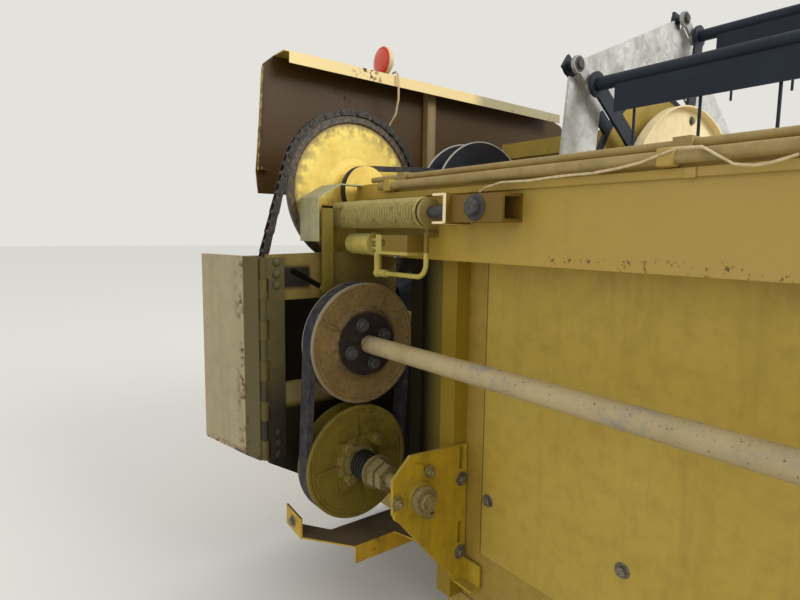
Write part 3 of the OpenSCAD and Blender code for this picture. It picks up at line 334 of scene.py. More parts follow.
ENAMELS = [
    # name, nodes, coat, faded, dirt, dust, chips, stain, layers of (tint, region) with a metallic
    # value where metal shows, region where the coat has rusted through
    # satin ochre with rain runs and few chips
    ("Ochre enamel on folded sheet steel",
     ["bottom_beam", "floor_pan", "feeder_frame", "end_sheets", "outrigger_tubes",
      "crop_dividers", "auger", "reel_arms", "reel_pulley"],
     "#A68D3C", "#AC9444", "#7A642C", "#A8935C", 0.72, 0.35),
    # worn through to black in the middle, speckled along its foot
    ("Ochre enamel on the box beam", ["top_beam"],
     "#A88C30", "#AE9238", "#80682E", "#A89468", 0.74, 0.25,
     (("#AC9048", beam_brown), ("#3A2C1C", beam_black), ("#2C241A", beam_specks))),
    # painted shade on the inner face, painted sunlight on its lip, duller at the lip's far end, the
    # channel painted paler as lit, rusted through along the torn lower edge
    ("Ochre enamel on the hood sheet", ["end_shield_left"],
     "#A08838", "#A89040", "#6E5A26", "#B8A884", 0.66, 0.5,
     (("#422C04", hood_inside_shade), ("#8A7852", hood_channel_lit), ("#E6CE92", hood_lip_sunlit),
      ("#A39A76", lip_far_end_duller)), hood_edge),
    # a dull coat darkened as painted shade, near black below as deeper painted shade, a smear of grease
    # above, rust round the slots
    ("Ochre enamel on the column plate", ["drive_column"],
     "#6E5C2C", "#766430", "#42351A", "#80704A", 0.66, 0.5,
     (("#7E6E48", column_bar), ("#1C150B", column_foot_shade), ("#17120C", column_smear)), column_edge),
    # the broadest and cleanest ochre, with thin dark seams
    ("Ochre enamel on the back panels", ["rear_panels"],
     "#B0953A", "#B69C42", "#8A7030", "#A08A50", 0.78, 0.3, (("#4A3C1C", panel_seam),)),
    # ochre that turns olive and then black towards the pulleys, painted shade with grime
    ("Ochre enamel on the back sheet", ["back_sheet"],
     "#A08436", "#A68A3C", "#6E5A26", "#8A7A48", 0.78, 0.3,
     (("#6E622C", wing_olive_shade_and_grime), ("#242010", wing_black_shade_and_grime))),
    # pale face, deeper ochre on the lip as painted shade
    ("Ochre enamel on the end posts", ["end_posts"],
     "#BCA254", "#C4AC62", "#82692C", "#9A8650", 0.75, 0.3, (("#8C731A", post_lip_shade),)),
    # strong yellow, dirty in the corners
    ("Ochre enamel on brackets and levers", ["tension_bracket", "shift_lever", "tube_bearing"],
     "#AE9020", "#B69828", "#66521A", "#8A7848", 0.70, 0.35),
    # strong yellow, browner on top as painted shade with an oil film
    ("Ochre enamel on the belt guard", ["belt_guard"],
     "#BA9420", "#C29C28", "#5E4A18", "#4A3E2E", 0.70, 0.35, (("#6A5A40", guard_top_shade_and_oil),)),
    # satin ochre outside, near black inside the left one as painted shade
    ("Ochre enamel on the side covers", ["side_covers"],
     "#A68D3C", "#AC9444", "#7A642C", "#A8935C", 0.72, 0.35, (("#1A150D", cover_inside_shade),)),
    # pale barrel with a browner block
    ("Faded ochre enamel on the cylinder", ["control_cylinder"],
     "#B6A650", "#BEAE5E", "#7A692F", "#A49966", 0.74, 0.25, (("#7C6624", valve_block),)),
    # grey-green chalk
    ("Bleached enamel on the beam's end cover", ["beam_end_cover"],
     "#9C966C", "#A8A47C", "#6E6A48", "#8A8C74", 0.74, 0.3),
    # brownish, dulled by dust
    ("Dull ochre enamel on the beam's pipes", ["hydraulic_lines"],
     "#94804C", "#9E8A56", "#5E4A24", "#8A764A", 0.72, 0.35),
    # pale tan, rubbed to rust at the bend, green-yellow beside the hinge
    ("Tan enamel on the hinged door", ["shield_door"],
     "#9E906E", "#A69876", "#7E7450", "#9E8E6A", 0.69, 0.4, (("#544A22", door_strip),), door_bend),
    # dark olive on a rough casting
    ("Olive enamel on cast iron", ["lower_pulley"],
     "#70601C", "#786824", "#42361A", "#665828", 0.66, 0.3),
    # oily olive, nearly black at its foot
    ("Dark olive enamel on the hinge leaf", ["door_hinge"],
     "#4B4424", "#524B2A", "#2C271A", "#524A30", 0.66, 0.4, (("#2A251A", leaf_foot),)),
    # light cream, little worn
    (CREAM, ["reel_tube"], "#ECD9A8", "#F0DFB2", "#B8A878", "#C8B88C", 0.74, 0.2),
    # blue-black with tan dust on top
    ("Black enamel on rolled steel",
     ["knife_drive_box", "lift_barrels", "reel_spiders", "control_arms"],
     "#1E2530", "#282F3A", "#15181E", "#5A5548", 0.74, 0.2),
    # blue-black with grey zinc at the cranks
    ("Black enamel on the bats, zinc cranks", ["bat_%d" % k for k in range(1, len(BATS) + 1)],
     "#162132", "#1E2A3A", "#15181E", "#3E3E3C", 0.76, 0.2, (("#A8A8A2", crank_end, 0.5),)),
    # brown box, olive disc at the spring's end
    ("Ochre enamel on the anchor box and rod", ["spring_rod"],
     "#7E6E38", "#887842", "#4E4226", "#6A5C3A", 0.7, 0.2,
     (("#94834A", rod_disc), ("#70561A", anchor_block))),
    # black cones with a thin bright rim
    ("Black enamel on the guide sheave", ["guide_pulley"],
     "#23242A", "#2E2F34", "#17171A", "#4A463C", 0.76, 0.2, (("#C9C6BA", sheave_rim, 0.4),)),
]


def make_enamels():
    """The paint coats, each from one row of colours and wear."""
    for row in ENAMELS:
        sprayed_enamel(*row)


def make_pulley_paint():
    """Brush-painted grey cast iron under harvest dust: matt brown, dark and rusty round the hub."""
    tree = new_material("Dusty tan enamel on cast iron", "upper_pulley")
    coat = overlay(tree, "#846C3C", "#745E34", patches(tree, 60, 0.4, 0.65))
    hub = ring_mask(tree, DRIVE, 100, 72)
    coat = overlay(tree, coat, "#33241A", product(tree, hub, patches(tree, 14, 0.3, 0.6)))
    coat = overlay(tree, coat, "#4A3820", patches(tree, 7, 0.56, 0.64), 0.7)
    coat = overlay(tree, coat, "#8A8478", ring_mask(tree, DRIVE, 143, 147), 0.8)
    close(tree, coat, 0.82, relief(tree, (9, 0.3, 0.8), (2.5, 0.25, 0.3)))


def make_tube_paint():
    """Cream enamel on drawn tube, rubbed to grey metal in patches, with a rusted hub plate."""
    tree = new_material("Worn cream enamel on the drive tube", "drive_tube")
    coat = overlay(tree, "#AE9C70", "#A09068", patches(tree, 80, 0.4, 0.65))
    rubbed = product(tree, patches(tree, 120, 0.48, 0.6), patches(tree, 22, 0.45, 0.6))
    coat = overlay(tree, coat, "#8F8A7C", rubbed, 0.9)
    coat = overlay(tree, coat, "#5A3C20", patches(tree, 5, 0.64, 0.68))
    collar = product(tree, beyond(tree, 0, -2100, -30), patches(tree, 12, 0.35, 0.6))
    coat = overlay(tree, coat, "#7A6038", collar)
    iron = overlay(tree, "#1C1210", "#30201A", patches(tree, 12, 0.42, 0.66))
    plate = beyond(tree, 0, -2139.5, -0.4)
    coat = overlay(tree, coat, iron, plate)
    normal = relief(tree, (30, 0.25, 0.8), (2.5, 0.2, 0.3))
    close(tree, coat, (0.42, 0.9, widest(tree, plate, rubbed)), normal)


def make_wheel_paint():
    """Ochre enamel on a cut steel sprocket, its toothed rim black with chain grease and chaff."""
    tree = new_material("Ochre enamel with a greasy rim", "chain_wheel")
    coat = overlay(tree, "#EED468", "#DCBC54", patches(tree, 90, 0.4, 0.65))
    splash = product(tree, ring_mask(tree, PIVOT, 132, 195),
                     patches(tree, 24, 0.42, 0.56))
    grease = widest(tree, ring_mask(tree, PIVOT, 168, 182), splash)
    muck = overlay(tree, "#2A231B", "#5C4A30", patches(tree, 9, 0.4, 0.62))
    coat = overlay(tree, coat, muck, grease)
    close(tree, coat, (0.55, 0.38, grease), relief(tree, (6, 0.4, 0.8)))


def make_galvanised():
    """Hot-dip galvanised sheet: pale grey zinc with a mottled spangle, dulled by weather."""
    tree = new_material("Hot-dip galvanised steel", "control_ring")
    spangle = add(tree, "TexVoronoi", {"Scale": 1000 / 14}, {"Vector": place(tree)})
    shade = add(tree, "SeparateColor", {}, {0: (spangle, "Color")})
    zinc = overlay(tree, "#BCBDB8", "#D2D3CE", (shade, 0))
    zinc = overlay(tree, zinc, "#8A877C", patches(tree, 90, 0.45, 0.68), 0.6)
    waves = patches(tree, 200, 0.3, 0.7, 1.0)
    normal = relief(tree, ((shade, 2), 0.06, 0.2), (waves, 0.4, 3.0))
    close(tree, zinc, (0.42, 0.62, (shade, 1)), normal, metallic=0.55)


METALS = [
    # name, nodes, light, dark, spot, grain in mm, roughness, metallic
    # brown iron with a dull sheen
    ("Bare forged steel, browned", ["skid_shoes", "cutter_bar", "guards", "knife", "auger_bearings"],
     "#6E675C", "#4E463C", "#6A4A30", 14, 0.58, 0.75),
    # zinc gone grey, brown at the edges
    (ZINC, [], "#8C8878", "#6C6758", "#5A4630", 6, 0.5, 0.7),
    # mirror-bright and clean
    ("Hard-chromed rod", ["lift_rods"], "#C4C6C8", "#B4B6B8", "#A0A2A4", 40, 0.12, 1.0),
    # black-brown with a wet gleam
    (GREASY, ["chain_idler", "reel_chain"], "#3A332A", "#1E1A16", "#5A4A34", 5, 0.45, 0.35),
    # flat grey heads
    (HUB_BOLT, [], "#4C4C4B", "#3C3C3A", "#4A4034", 6, 0.6, 0.2),
    # olive like the casting, brown in the corners
    ("Bolt under olive enamel", [], "#7E6D2C", "#6C5C26", "#46391A", 7, 0.6, 0.0),
    # yellow-grey with a damp shine
    (OILED_NUT, ["lower_shaft"], "#8A7C50", "#766A40", "#4E4228", 6, 0.5, 0.15),
    # dusty yellow-green turns, brown where the coat has cracked
    ("Spring steel in faded enamel", ["tension_spring"], "#A09150", "#908244", "#6A5A30", 9, 0.6, 0.0),
    # nearly black with a soft gleam
    ("Oil-blackened spring steel", ["clutch_spring"], "#26241F", "#171613", "#4A3C28", 6, 0.4, 0.5),
    # light wire with brown specks
    ("Tine wire, bright drawn", [], "#A8A49A", "#8A8478", "#5E4630", 12, 0.38, 0.85),
    # grey steel scoured through ochre by the crop
    ("Scoured auger flighting", ["auger_flights"], "#8E8468", "#A08034", "#5A4024", 60, 0.45, 0.4),
]


def make_metals():
    """Metal parts, bare, plated, oiled or thinly painted, each with its own grain and gloss."""
    for name, nodes, light, dark, spot, grain, rough, metallic in METALS:
        tree = new_material(name, *nodes)
        tone = overlay(tree, light, dark, patches(tree, grain, 0.38, 0.64))
        tone = overlay(tree, tone, spot, patches(tree, grain * 2.5, 0.56, 0.66), 0.7)
        gloss = (rough - 0.06, rough + 0.1, patches(tree, grain, 0.3, 0.7))
        normal = relief(tree, (max(2.0, grain / 3), 0.2, 0.25))
        close(tree, tone, gloss, normal, metallic)


RUBBERS = [
    # name, nodes, colour, dust, dust size in mm, roughness
    # blue-black, greyed by dust
    ("Wrapped belt rubber, dusty", ["drive_belt", "reel_belt"], "#23242E", "#4A4538", 22, 0.78),
    # cream with tan grime
    (VINYL, ["lamp_cable"], "#CDBB8E", "#A8966A", 9, 0.6),
]


def make_rubbers():
    """Moulded rubber and vinyl: matt, near black or cream, with dust rubbed into the grain."""
    for name, nodes, colour, dust, size, rough in RUBBERS:
        tree = new_material(name, *nodes)
        tone = overlay(tree, colour, dust, patches(tree, size, 0.42, 0.75))
        close(tree, tone, rough, relief(tree, (2.5, 0.25, 0.3)))


def make_lens():
    """Reflector moulded in clear-coated acrylic: red-orange prisms in a pale pressed rim."""
    tree = new_material("Moulded acrylic reflector", "marker_lamp")
    cells = add(tree, "TexVoronoi", {"Scale": 1000 / 5}, {"Vector": place(tree)})
    rim = beyond(tree, 1, 176, 2)
    colour = overlay(tree, overlay(tree, "#E0441C", "#B82F12", (cells, 0)), "#C9B98E", rim)
    normal = relief(tree, ((cells, 0), 0.3, 0.8))
    close(tree, colour, (0.22, 0.6, rim), normal, coat=0.4)


def make_floor(pale):
    """Pale plain floor of the studio, which keeps the object's shadow."""
    tree = new_material("Studio floor")
    shader = add(tree, "BsdfPrincipled", {"Base Color": pale, "Roughness": 0.9})
    tree.links.new(shader.outputs[0], tree.nodes["output"].inputs[0])


# Modelling

def take(*pieces):
    """Select only these pieces, the first one active."""
    bpy.ops.object.select_all(action="DESELECT")
    for piece in pieces:
        piece.select_set(True)
    bpy.context.view_layer.objects.active = pieces[0]
    return pieces[0]


def settle(*pieces):
    """Put the pieces' places, turns and scales into their meshes."""
    take(*pieces)
    bpy.ops.object.transform_apply(location=True, rotation=True, scale=True)
    return pieces[0]


@contextlib.contextmanager
def editing(piece, chosen=None):
    """Edit mode on a piece, with all of it selected or only the faces that the test picks."""
    take(piece)
    bpy.ops.object.mode_set(mode="EDIT")
    bpy.ops.mesh.select_mode(type="FACE")
    bpy.ops.mesh.select_all(action="DESELECT" if chosen else "SELECT")
    if chosen:
        bpy.ops.object.mode_set(mode="OBJECT")
        for face in piece.data.polygons:
            face.select = bool(chosen(face))
        bpy.ops.object.mode_set(mode="EDIT")
    yield
    bpy.ops.object.mode_set(mode="OBJECT")


def face_out():
    """Select everything in edit mode and turn its faces outward."""
    bpy.ops.mesh.select_all(action="SELECT")
    bpy.ops.mesh.normals_make_consistent(inside=False)


def join(*pieces):
    """Join the pieces into the first one."""
    take(*pieces)
    if len(pieces) > 1:
        bpy.ops.object.join()
    return bpy.context.object


def finish(piece, name, material, body="header_frame"):
    """Put the piece's place in its mesh and give it its name, finish, body and slot."""
    settle(piece)
    bpy.ops.object.shade_smooth_by_angle(angle=math.radians(38))
    piece.name = piece.data.name = name
    piece.data.materials.clear()
    piece.data.materials.append(bpy.data.materials[material])
    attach(piece, body)
    return piece


def copies(pattern, places):
    """Copies of a pattern at matrices, joined into one piece; the pattern itself is removed."""
    made = []
    for matrix in places:
        copy = pattern.copy()
        copy.data = pattern.data.copy()
        bpy.context.collection.objects.link(copy)
        copy.matrix_world = matrix
        made.append(copy)
    bpy.data.objects.remove(pattern)
    settle(*made)
    return join(*made)


def standing(point, axis, turn=0.0):
    """Matrix that stands a pattern made along +Z on a point, along an axis, turned about it."""
    upright = Z.rotation_difference(Vector(axis)).to_matrix().to_4x4()
    return Matrix.Translation(point) @ upright @ Matrix.Rotation(turn, 4, "Z")


def fasten(name, pattern, spots, axis, material, body="header_frame", turn=0.0):
    """Stand a fastener on every spot, each turned a step further, as one piece."""
    places = [standing(spot, axis, turn * i) for i, spot in enumerate(spots)]
    return finish(copies(pattern, places), name, material, body)


def crowned(radius, height, middle, sides, bevel):
    """Upright prism about a height on the Z axis, with the edge of its top face bevelled."""
    bpy.ops.mesh.primitive_cylinder_add(vertices=sides, radius=radius, depth=height,
                                        location=(0, 0, middle))
    prism = bpy.context.object
    with editing(prism, lambda f: f.normal.z > 0.9):
        bpy.ops.mesh.bevel(offset=bevel, segments=1)
    return settle(prism)


def hex_bolt(radius, height, washer=1.45):
    """Hexagon head with a chamfered crown on a round washer, along +Z from the origin."""
    sheet = height * 0.22
    head = crowned(radius, height, sheet + height / 2, sides=6, bevel=radius * 0.14)
    return join(head, crowned(radius * washer, sheet * 1.2, sheet * 0.5, sides=24, bevel=sheet * 0.3))


def stud_nut(radius, height, reach):
    """Nut on a washer with the end of its stud standing proud."""
    stud = crowned(radius * 0.52, reach, height * 1.2 + reach / 2 - 0.001, sides=16,
                   bevel=radius * 0.12)
    return join(hex_bolt(radius, height), stud)


def button_bolt(radius, height):
    """Domed head, low and round, along +Z from the origin."""
    bpy.ops.mesh.primitive_uv_sphere_add(segments=20, ring_count=10, radius=radius)
    dome = bpy.context.object
    with editing(dome):
        bpy.ops.mesh.bisect(plane_co=(0, 0, 0), plane_no=(0, 0, 1), use_fill=True, clear_inner=True)
        bpy.ops.mesh.select_all(action="SELECT")
        bpy.ops.transform.resize(value=(1, 1, height / radius))
    return dome


def bar(low, high, bevel=0.8):
    """Flat bar between two corners in mm, its edges broken by a bevel."""
    low, high = mm(*low), mm(*high)
    bpy.ops.mesh.primitive_cube_add(size=1, location=(low + high) / 2, scale=high - low)
    flat = settle(bpy.context.object)
    with editing(flat):
        bpy.ops.mesh.bevel(offset=bevel / 1000, segments=1)
    return flat


def rod(start, end, radius, bevel=0.8, sides=24):
    """Round bar between two points in mm, its ends chamfered."""
    start, end = mm(*start), mm(*end)
    bpy.ops.mesh.primitive_cylinder_add(vertices=sides, radius=radius / 1000,
                                        depth=(end - start).length)
    round_bar = bpy.context.object
    with editing(round_bar, lambda f: abs(f.normal.z) > 0.9):
        bpy.ops.mesh.bevel(offset=bevel / 1000, segments=1)
    round_bar.matrix_world = standing((start + end) / 2, end - start)
    return settle(round_bar)


def strand(points, radius, sides=8):
    """Wire that runs along X in straight steps through points in mm."""
    bpy.ops.mesh.primitive_circle_add(vertices=sides, radius=radius / 1000, fill_type="NGON",
                                      location=mm(*points[0]), rotation=(0, math.pi / 2, 0))
    wire = settle(bpy.context.object)
    with editing(wire):
        for start, end in zip(points, points[1:]):
            step = mm(*end) - mm(*start)
            bpy.ops.mesh.extrude_region_move(TRANSFORM_OT_translate={"value": step})
        face_out()
    return wire


def spun(profile, centre, steps=72):
    """Ring turned about the line along X through a centre, from an outline of (x, radius) in mm."""
    bpy.ops.mesh.primitive_circle_add(vertices=len(profile), radius=1, fill_type="NGON",
                                      location=(0, 0, 0))
    ring = bpy.context.object
    for vertex, (x, radius) in zip(ring.data.vertices, profile):
        vertex.co = (x / 1000, centre.y, centre.z + radius / 1000)
    with editing(ring):
        bpy.ops.mesh.spin(steps=steps, angle=math.tau, center=(0, centre.y, centre.z), axis=(1, 0, 0))
        bpy.ops.mesh.select_all(action="SELECT")
        bpy.ops.mesh.remove_doubles(threshold=0.00002)
        face_out()
    return ring


def turned(centre, x, radius, degrees):
    """Points at angles round a line along X; the angle goes from +Y towards +Z."""
    return [Vector((x, centre.y + radius * math.cos(math.radians(a)),
                    centre.z + radius * math.sin(math.radians(a)))) for a in degrees]


def coil(radius, wire, pitch, turns, sides, steps):
    """Helical spring along +X from the origin, closed at both ends."""
    bpy.ops.mesh.primitive_circle_add(vertices=sides, radius=wire, fill_type="NOTHING",
                                      location=(0, radius, 0))
    spring = settle(bpy.context.object)
    screw = spring.modifiers.new("Turns", "SCREW")
    screw.axis = "X"
    screw.angle = math.tau * turns
    screw.steps = screw.render_steps = int(steps * turns)
    screw.screw_offset = pitch * turns
    bpy.ops.object.modifier_apply(modifier="Turns")
    with editing(spring):
        bpy.ops.mesh.fill_holes(sides=0)
        face_out()
    return spring


def hull_of(points):
    """Convex outline of flat points, anticlockwise."""
    points = sorted(set(points))
    halves = []
    for row in (points, points[::-1]):
        half = []
        for p in row:
            while len(half) > 1 and ((half[-1][0] - half[-2][0]) * (p[1] - half[-2][1])
                                     - (half[-1][1] - half[-2][1]) * (p[0] - half[-2][0])) <= 0:
                half.pop()
            half.append(p)
        halves.append(half[:-1])
    return halves[0] + halves[1]


def loop_steps(wheels, pitch):
    """Even steps of about one pitch along the loop round (centre, radius) wheels, in Y and Z."""
    rim = [(c.y + r * math.cos(a), c.z + r * math.sin(a))
           for c, r in wheels for a in (math.tau * i / 240 for i in range(240))]
    path = hull_of(rim)
    path.append(path[0])
    ends = [0.0]
    for (y0, z0), (y1, z1) in zip(path, path[1:]):
        ends.append(ends[-1] + math.hypot(y1 - y0, z1 - z0))
    count = 2 * round(ends[-1] / pitch / 2)
    places, k = [], 0
    for i in range(count):
        s = ends[-1] * i / count
        while ends[k + 1] < s:
            k += 1
        t = (s - ends[k]) / (ends[k + 1] - ends[k])
        places.append((path[k][0] + t * (path[k + 1][0] - path[k][0]),
                       path[k][1] + t * (path[k + 1][1] - path[k][1])))
    return places


def chain_link(pitch, side, high):
    """One link along +Y from the origin: two plates, a roller and its riveted pin."""
    thick, roller, pin = 0.0022, (0.0079, 0.0155), (0.0036, 0.0262)
    pieces = []
    for x in (-side, side):
        bpy.ops.mesh.primitive_cylinder_add(vertices=12, radius=high, depth=thick,
                                            location=(x, 0, 0), rotation=(0, math.pi / 2, 0))
        plate = settle(bpy.context.object)
        with editing(plate, lambda f: f.center.y > 0.0001 and abs(f.normal.x) < 0.5):
            bpy.ops.transform.translate(value=(0, pitch, 0))
        pieces.append(plate)
    for radius, depth in (roller, pin):
        bpy.ops.mesh.primitive_cylinder_add(vertices=10, radius=radius, depth=depth,
                                            rotation=(0, math.pi / 2, 0))
        pieces.append(settle(bpy.context.object))
    return join(*pieces)


# Settings

class HeaderFasteners(bpy.types.PropertyGroup):
    """Sizes of the fasteners and small parts."""
    hub_bolt: bpy.props.FloatProperty(
        name="Hub bolt", description="Half the width over corners of the hub plate's bolt heads",
        default=0.0135, min=0.006, max=0.02, unit="LENGTH")
    plate_bolt: bpy.props.FloatProperty(
        name="Plate bolt", description="Half the width over corners of the bolts in sheet metal",
        default=0.010, min=0.005, max=0.02, unit="LENGTH")
    hinge_stud: bpy.props.FloatProperty(
        name="Hinge stud", description="Radius of the domed studs in the door hinge's leaf",
        default=0.0095, min=0.005, max=0.015, unit="LENGTH")
    chain_pitch: bpy.props.FloatProperty(
        name="Chain pitch", description="Distance from pin to pin of the roller chain",
        default=0.0254, min=0.012, max=0.04, unit="LENGTH")
    spring_wire: bpy.props.FloatProperty(
        name="Spring wire", description="Radius of the belt tension spring's wire",
        default=0.0039, min=0.002, max=0.006, unit="LENGTH")
    tine_coil: bpy.props.FloatProperty(
        name="Tine coil", description="Mean radius of the coils that clip the tines to the bats",
        default=0.009, min=0.005, max=0.014, unit="LENGTH")


class HeaderStudio(bpy.types.PropertyGroup):
    """Colours and strengths of the studio."""
    floor: bpy.props.FloatVectorProperty(
        name="Floor", description="Colour of the studio floor", subtype="COLOR", size=4,
        min=0, max=1, default=linear("#D8D6D0"))
    backdrop: bpy.props.FloatVectorProperty(
        name="Backdrop", description="Colour seen behind the object", subtype="COLOR", size=4,
        min=0, max=1, default=linear("#E4E2DC"))
    ambient: bpy.props.FloatProperty(
        name="Ambient", description="Strength of the light from all round", default=1.0,
        min=0, max=2)
    key: bpy.props.FloatProperty(
        name="Key lamp", description="Power of the large soft lamp", default=360, min=0,
        max=4000, unit="POWER")


# Operators

class HEADER_OT_paint(bpy.types.Operator):
    """Make the finishes and give each part of the frame its own"""
    bl_idname = "header.paint"
    bl_label = "Paint the frame"

    def execute(self, context):
        make_enamels()
        make_pulley_paint()
        make_tube_paint()
        make_wheel_paint()
        make_galvanised()
        make_metals()
        make_rubbers()
        make_lens()
        make_floor(context.scene.header_studio.floor)
        return {"FINISHED"}


class HEADER_OT_hub_bolts(bpy.types.Operator):
    """Bolt the drive tube's plate to the upper pulley"""
    bl_idname = "header.hub_bolts"
    bl_label = "Hub bolts"

    def execute(self, context):
        size = context.scene.header_fasteners.hub_bolt
        spots = turned(DRIVE, -2.140, 0.050, (20, 110, 200, 290))
        fasten("hub_bolts", hex_bolt(size, 0.010, 1.3), spots, X, HUB_BOLT, "drive_shaft", 0.3)
        return {"FINISHED"}


class HEADER_OT_lower_bolts(bpy.types.Operator):
    """Bolt the lower pulley and its bearing's flange and bracket, and collar its shaft"""
    bl_idname = "header.lower_bolts"
    bl_label = "Lower drive bolts"

    def execute(self, context):
        size = context.scene.header_fasteners.plate_bolt
        spots = [mm(-2148, y, z) for y, z in ((-185, 426), (-103, 433), (-182, 350))]
        fasten("lower_pulley_bolts", hex_bolt(0.0155, 0.010, 1.1), spots, X,
               "Bolt under olive enamel", "lower_shaft")
        spots = turned(LOWER, -1.9192, 0.056, (180, 303, 417))
        fasten("bearing_flange_nuts", stud_nut(size, 0.008, 0.008), spots, X, OILED_NUT)
        spots = [mm(-1924.7, -20, z) for z in (389, 212)]
        fasten("bracket_slot_bolts", hex_bolt(size, 0.008, 1.7), spots, X, ZINC)
        collar = join(rod((-1905, -152, 386), (-1889, -152, 386), 31, 2, 40),
                      rod((-1892, -152, 386), (-1880, -152, 386), 19, 2, 32))
        finish(collar, "shaft_collar", OILED_NUT, "lower_shaft")
        return {"FINISHED"}


class HEADER_OT_hinge(bpy.types.Operator):
    """Stud the leaf of the door's hinge to the column"""
    bl_idname = "header.hinge"
    bl_label = "Door hinge"

    def execute(self, context):
        size = context.scene.header_fasteners.hinge_stud
        spots = [mm(-2246, -321, z) for z in (414, 442, 468, 822, 848, 876)]
        fasten("hinge_studs", button_bolt(size, 0.0055), spots, X, "Dark olive enamel on the hinge leaf")
        return {"FINISHED"}


class HEADER_OT_frame_bolts(bpy.types.Operator):
    """Bolt the panels, tubes, bearings, plates, valve, guard and spring anchor of the fixed frame"""
    bl_idname = "header.frame_bolts"
    bl_label = "Frame bolts"

    def execute(self, context):
        size = context.scene.header_fasteners.plate_bolt
        groups = [
            # name, radius, height, finish, axis, points in mm
            ("panel_nuts", size, 0.008, ZINC, -Y,
             [(x, -3, 358) for x in (-1856, -1530, -1204, -878, 878, 1204, 1530, 1856)]),
            ("anchor_nut", 0.017, 0.014, HUB_BOLT, -Y, [(-1785, -138, 995)]),
            ("valve_bolt", 0.008, 0.006, ZINC, -Z, [(-2060, -115, 898)]),
            ("tube_bolts", size, 0.005, ZINC, -X,
             [(-2570, y + 25, z + 25) for y, z in ((85, 670), (70, 130), (700, 200), (450, 560))]),
            ("guard_tab_bolt", 0.010, 0.008, ZINC, -Y, [(-2262, -276.5, 222)]),
            ("tube_bearing_bolts", 0.008, 0.007, ZINC, X,
             [(-880, y, z) for y, z in ((-30, 745), (-30, 615), (-170, 640), (-170, 722))]),
            ("beam_plate_bolts", size, 0.008, ZINC, -Y,
             [(x, -84, z) for x in (-640, -560, 560, 640) for z in (925, 1005)]),
        ]
        for name, radius, height, material, axis, points in groups:
            spots = [mm(*point) for point in points]
            fasten(name, hex_bolt(radius, height), spots, axis, material, turn=0.4)
        flange, circle = 2.008, 0.048
        for side, end in ((-1, "left"), (1, "right")):
            spots = turned(AUGER, side * flange, circle, (45, 135, 225, 315))
            fasten("auger_bearing_bolts_" + end, hex_bolt(0.008, 0.007), spots, X * side, ZINC)
        return {"FINISHED"}


class HEADER_OT_beam_lines(bpy.types.Operator):
    """Run the pipe, the ledge strip and the thin wire along the box beam"""
    bl_idname = "header.beam_lines"
    bl_label = "Beam lines"

    def execute(self, context):
        enamel = "Ochre enamel on the box beam"
        ledge = join(bar((-2210, -91, 1027), (1900, -83, 1042), 1.5),
                     bar((-1424, -94, 1026), (-1407, -90, 1041)))
        finish(ledge, "beam_ledge", enamel)
        pipe = rod((-2150, -97, 1056), (1960, -97, 1056), 10, 2)
        finish(pipe, "beam_pipe", "Dull ochre enamel on the beam's pipes")
        clamps = [bar((x, -109, 1043), (x + 26, -84, 1069), 2) for x in (-2120, -1458, -790, 520, 1890)]
        finish(join(*clamps), "pipe_clamps", enamel)
        sag = [(-1803, 1025), (-1786, 1033), (-1749, 1040), (-1684, 1039), (-1643, 1041), (-1604, 1042),
               (-1557, 1042), (-1514, 1046), (-1480, 1051), (-1455, 1058), (-1427, 1066),
               (-1393, 1064), (-1352, 1038), (-1329, 1034), (-1309, 1036), (-1281, 1043)]
        wire = strand([(x, -110, z) for x, z in sag], 2.2)
        finish(wire, "beam_wire", VINYL)
        return {"FINISHED"}


class HEADER_OT_spring_anchor(bpy.types.Operator):
    """Fit the channel and nut that hold the belt tension spring's rod, and the column's strap"""
    bl_idname = "header.spring_anchor"
    bl_label = "Spring anchor"

    def execute(self, context):
        channel = [bar((-1895, -150, z), (-1853, -86, z + 5)) for z in (1020, 965)]
        channel.append(bar((-1860.5, -152, 966), (-1853, -147, 1024)))
        finish(join(*channel), "anchor_channel", CREAM)
        fittings = [rod((-1931, -122, 990), (-1896, -122, 990), 12, 1),
                    rod((-1896, -122, 990), (-1862, -122, 990), 18, 3, 6)]
        finish(join(*fittings), "spring_nut", HUB_BOLT)
        strap = join(bar((-2238, -206, 800), (-2232, -176, 1010)),
                     bar((-2238, -206, 1004), (-2232, -120, 1010)))
        finish(strap, "column_strap", "Olive enamel on cast iron")
        return {"FINISHED"}


class HEADER_OT_guide_sheave(bpy.types.Operator):
    """Turn the wide conical flanges on both sides of the reel belt's guide pulley"""
    bl_idname = "header.guide_sheave"
    bl_label = "Guide sheave"

    def execute(self, context):
        near = [(-2288, 52), (-2261, 186), (-2261, 190), (-2256, 190), (-2256, 186), (-2283, 52)]
        far = [(-2323, 52), (-2333, 186), (-2333, 190), (-2328, 190), (-2328, 186), (-2318, 52)]
        flanges = join(spun(near, GUIDE), spun(far, GUIDE))
        finish(flanges, "guide_flanges", "Black enamel on the guide sheave", "guide_pulley")
        return {"FINISHED"}


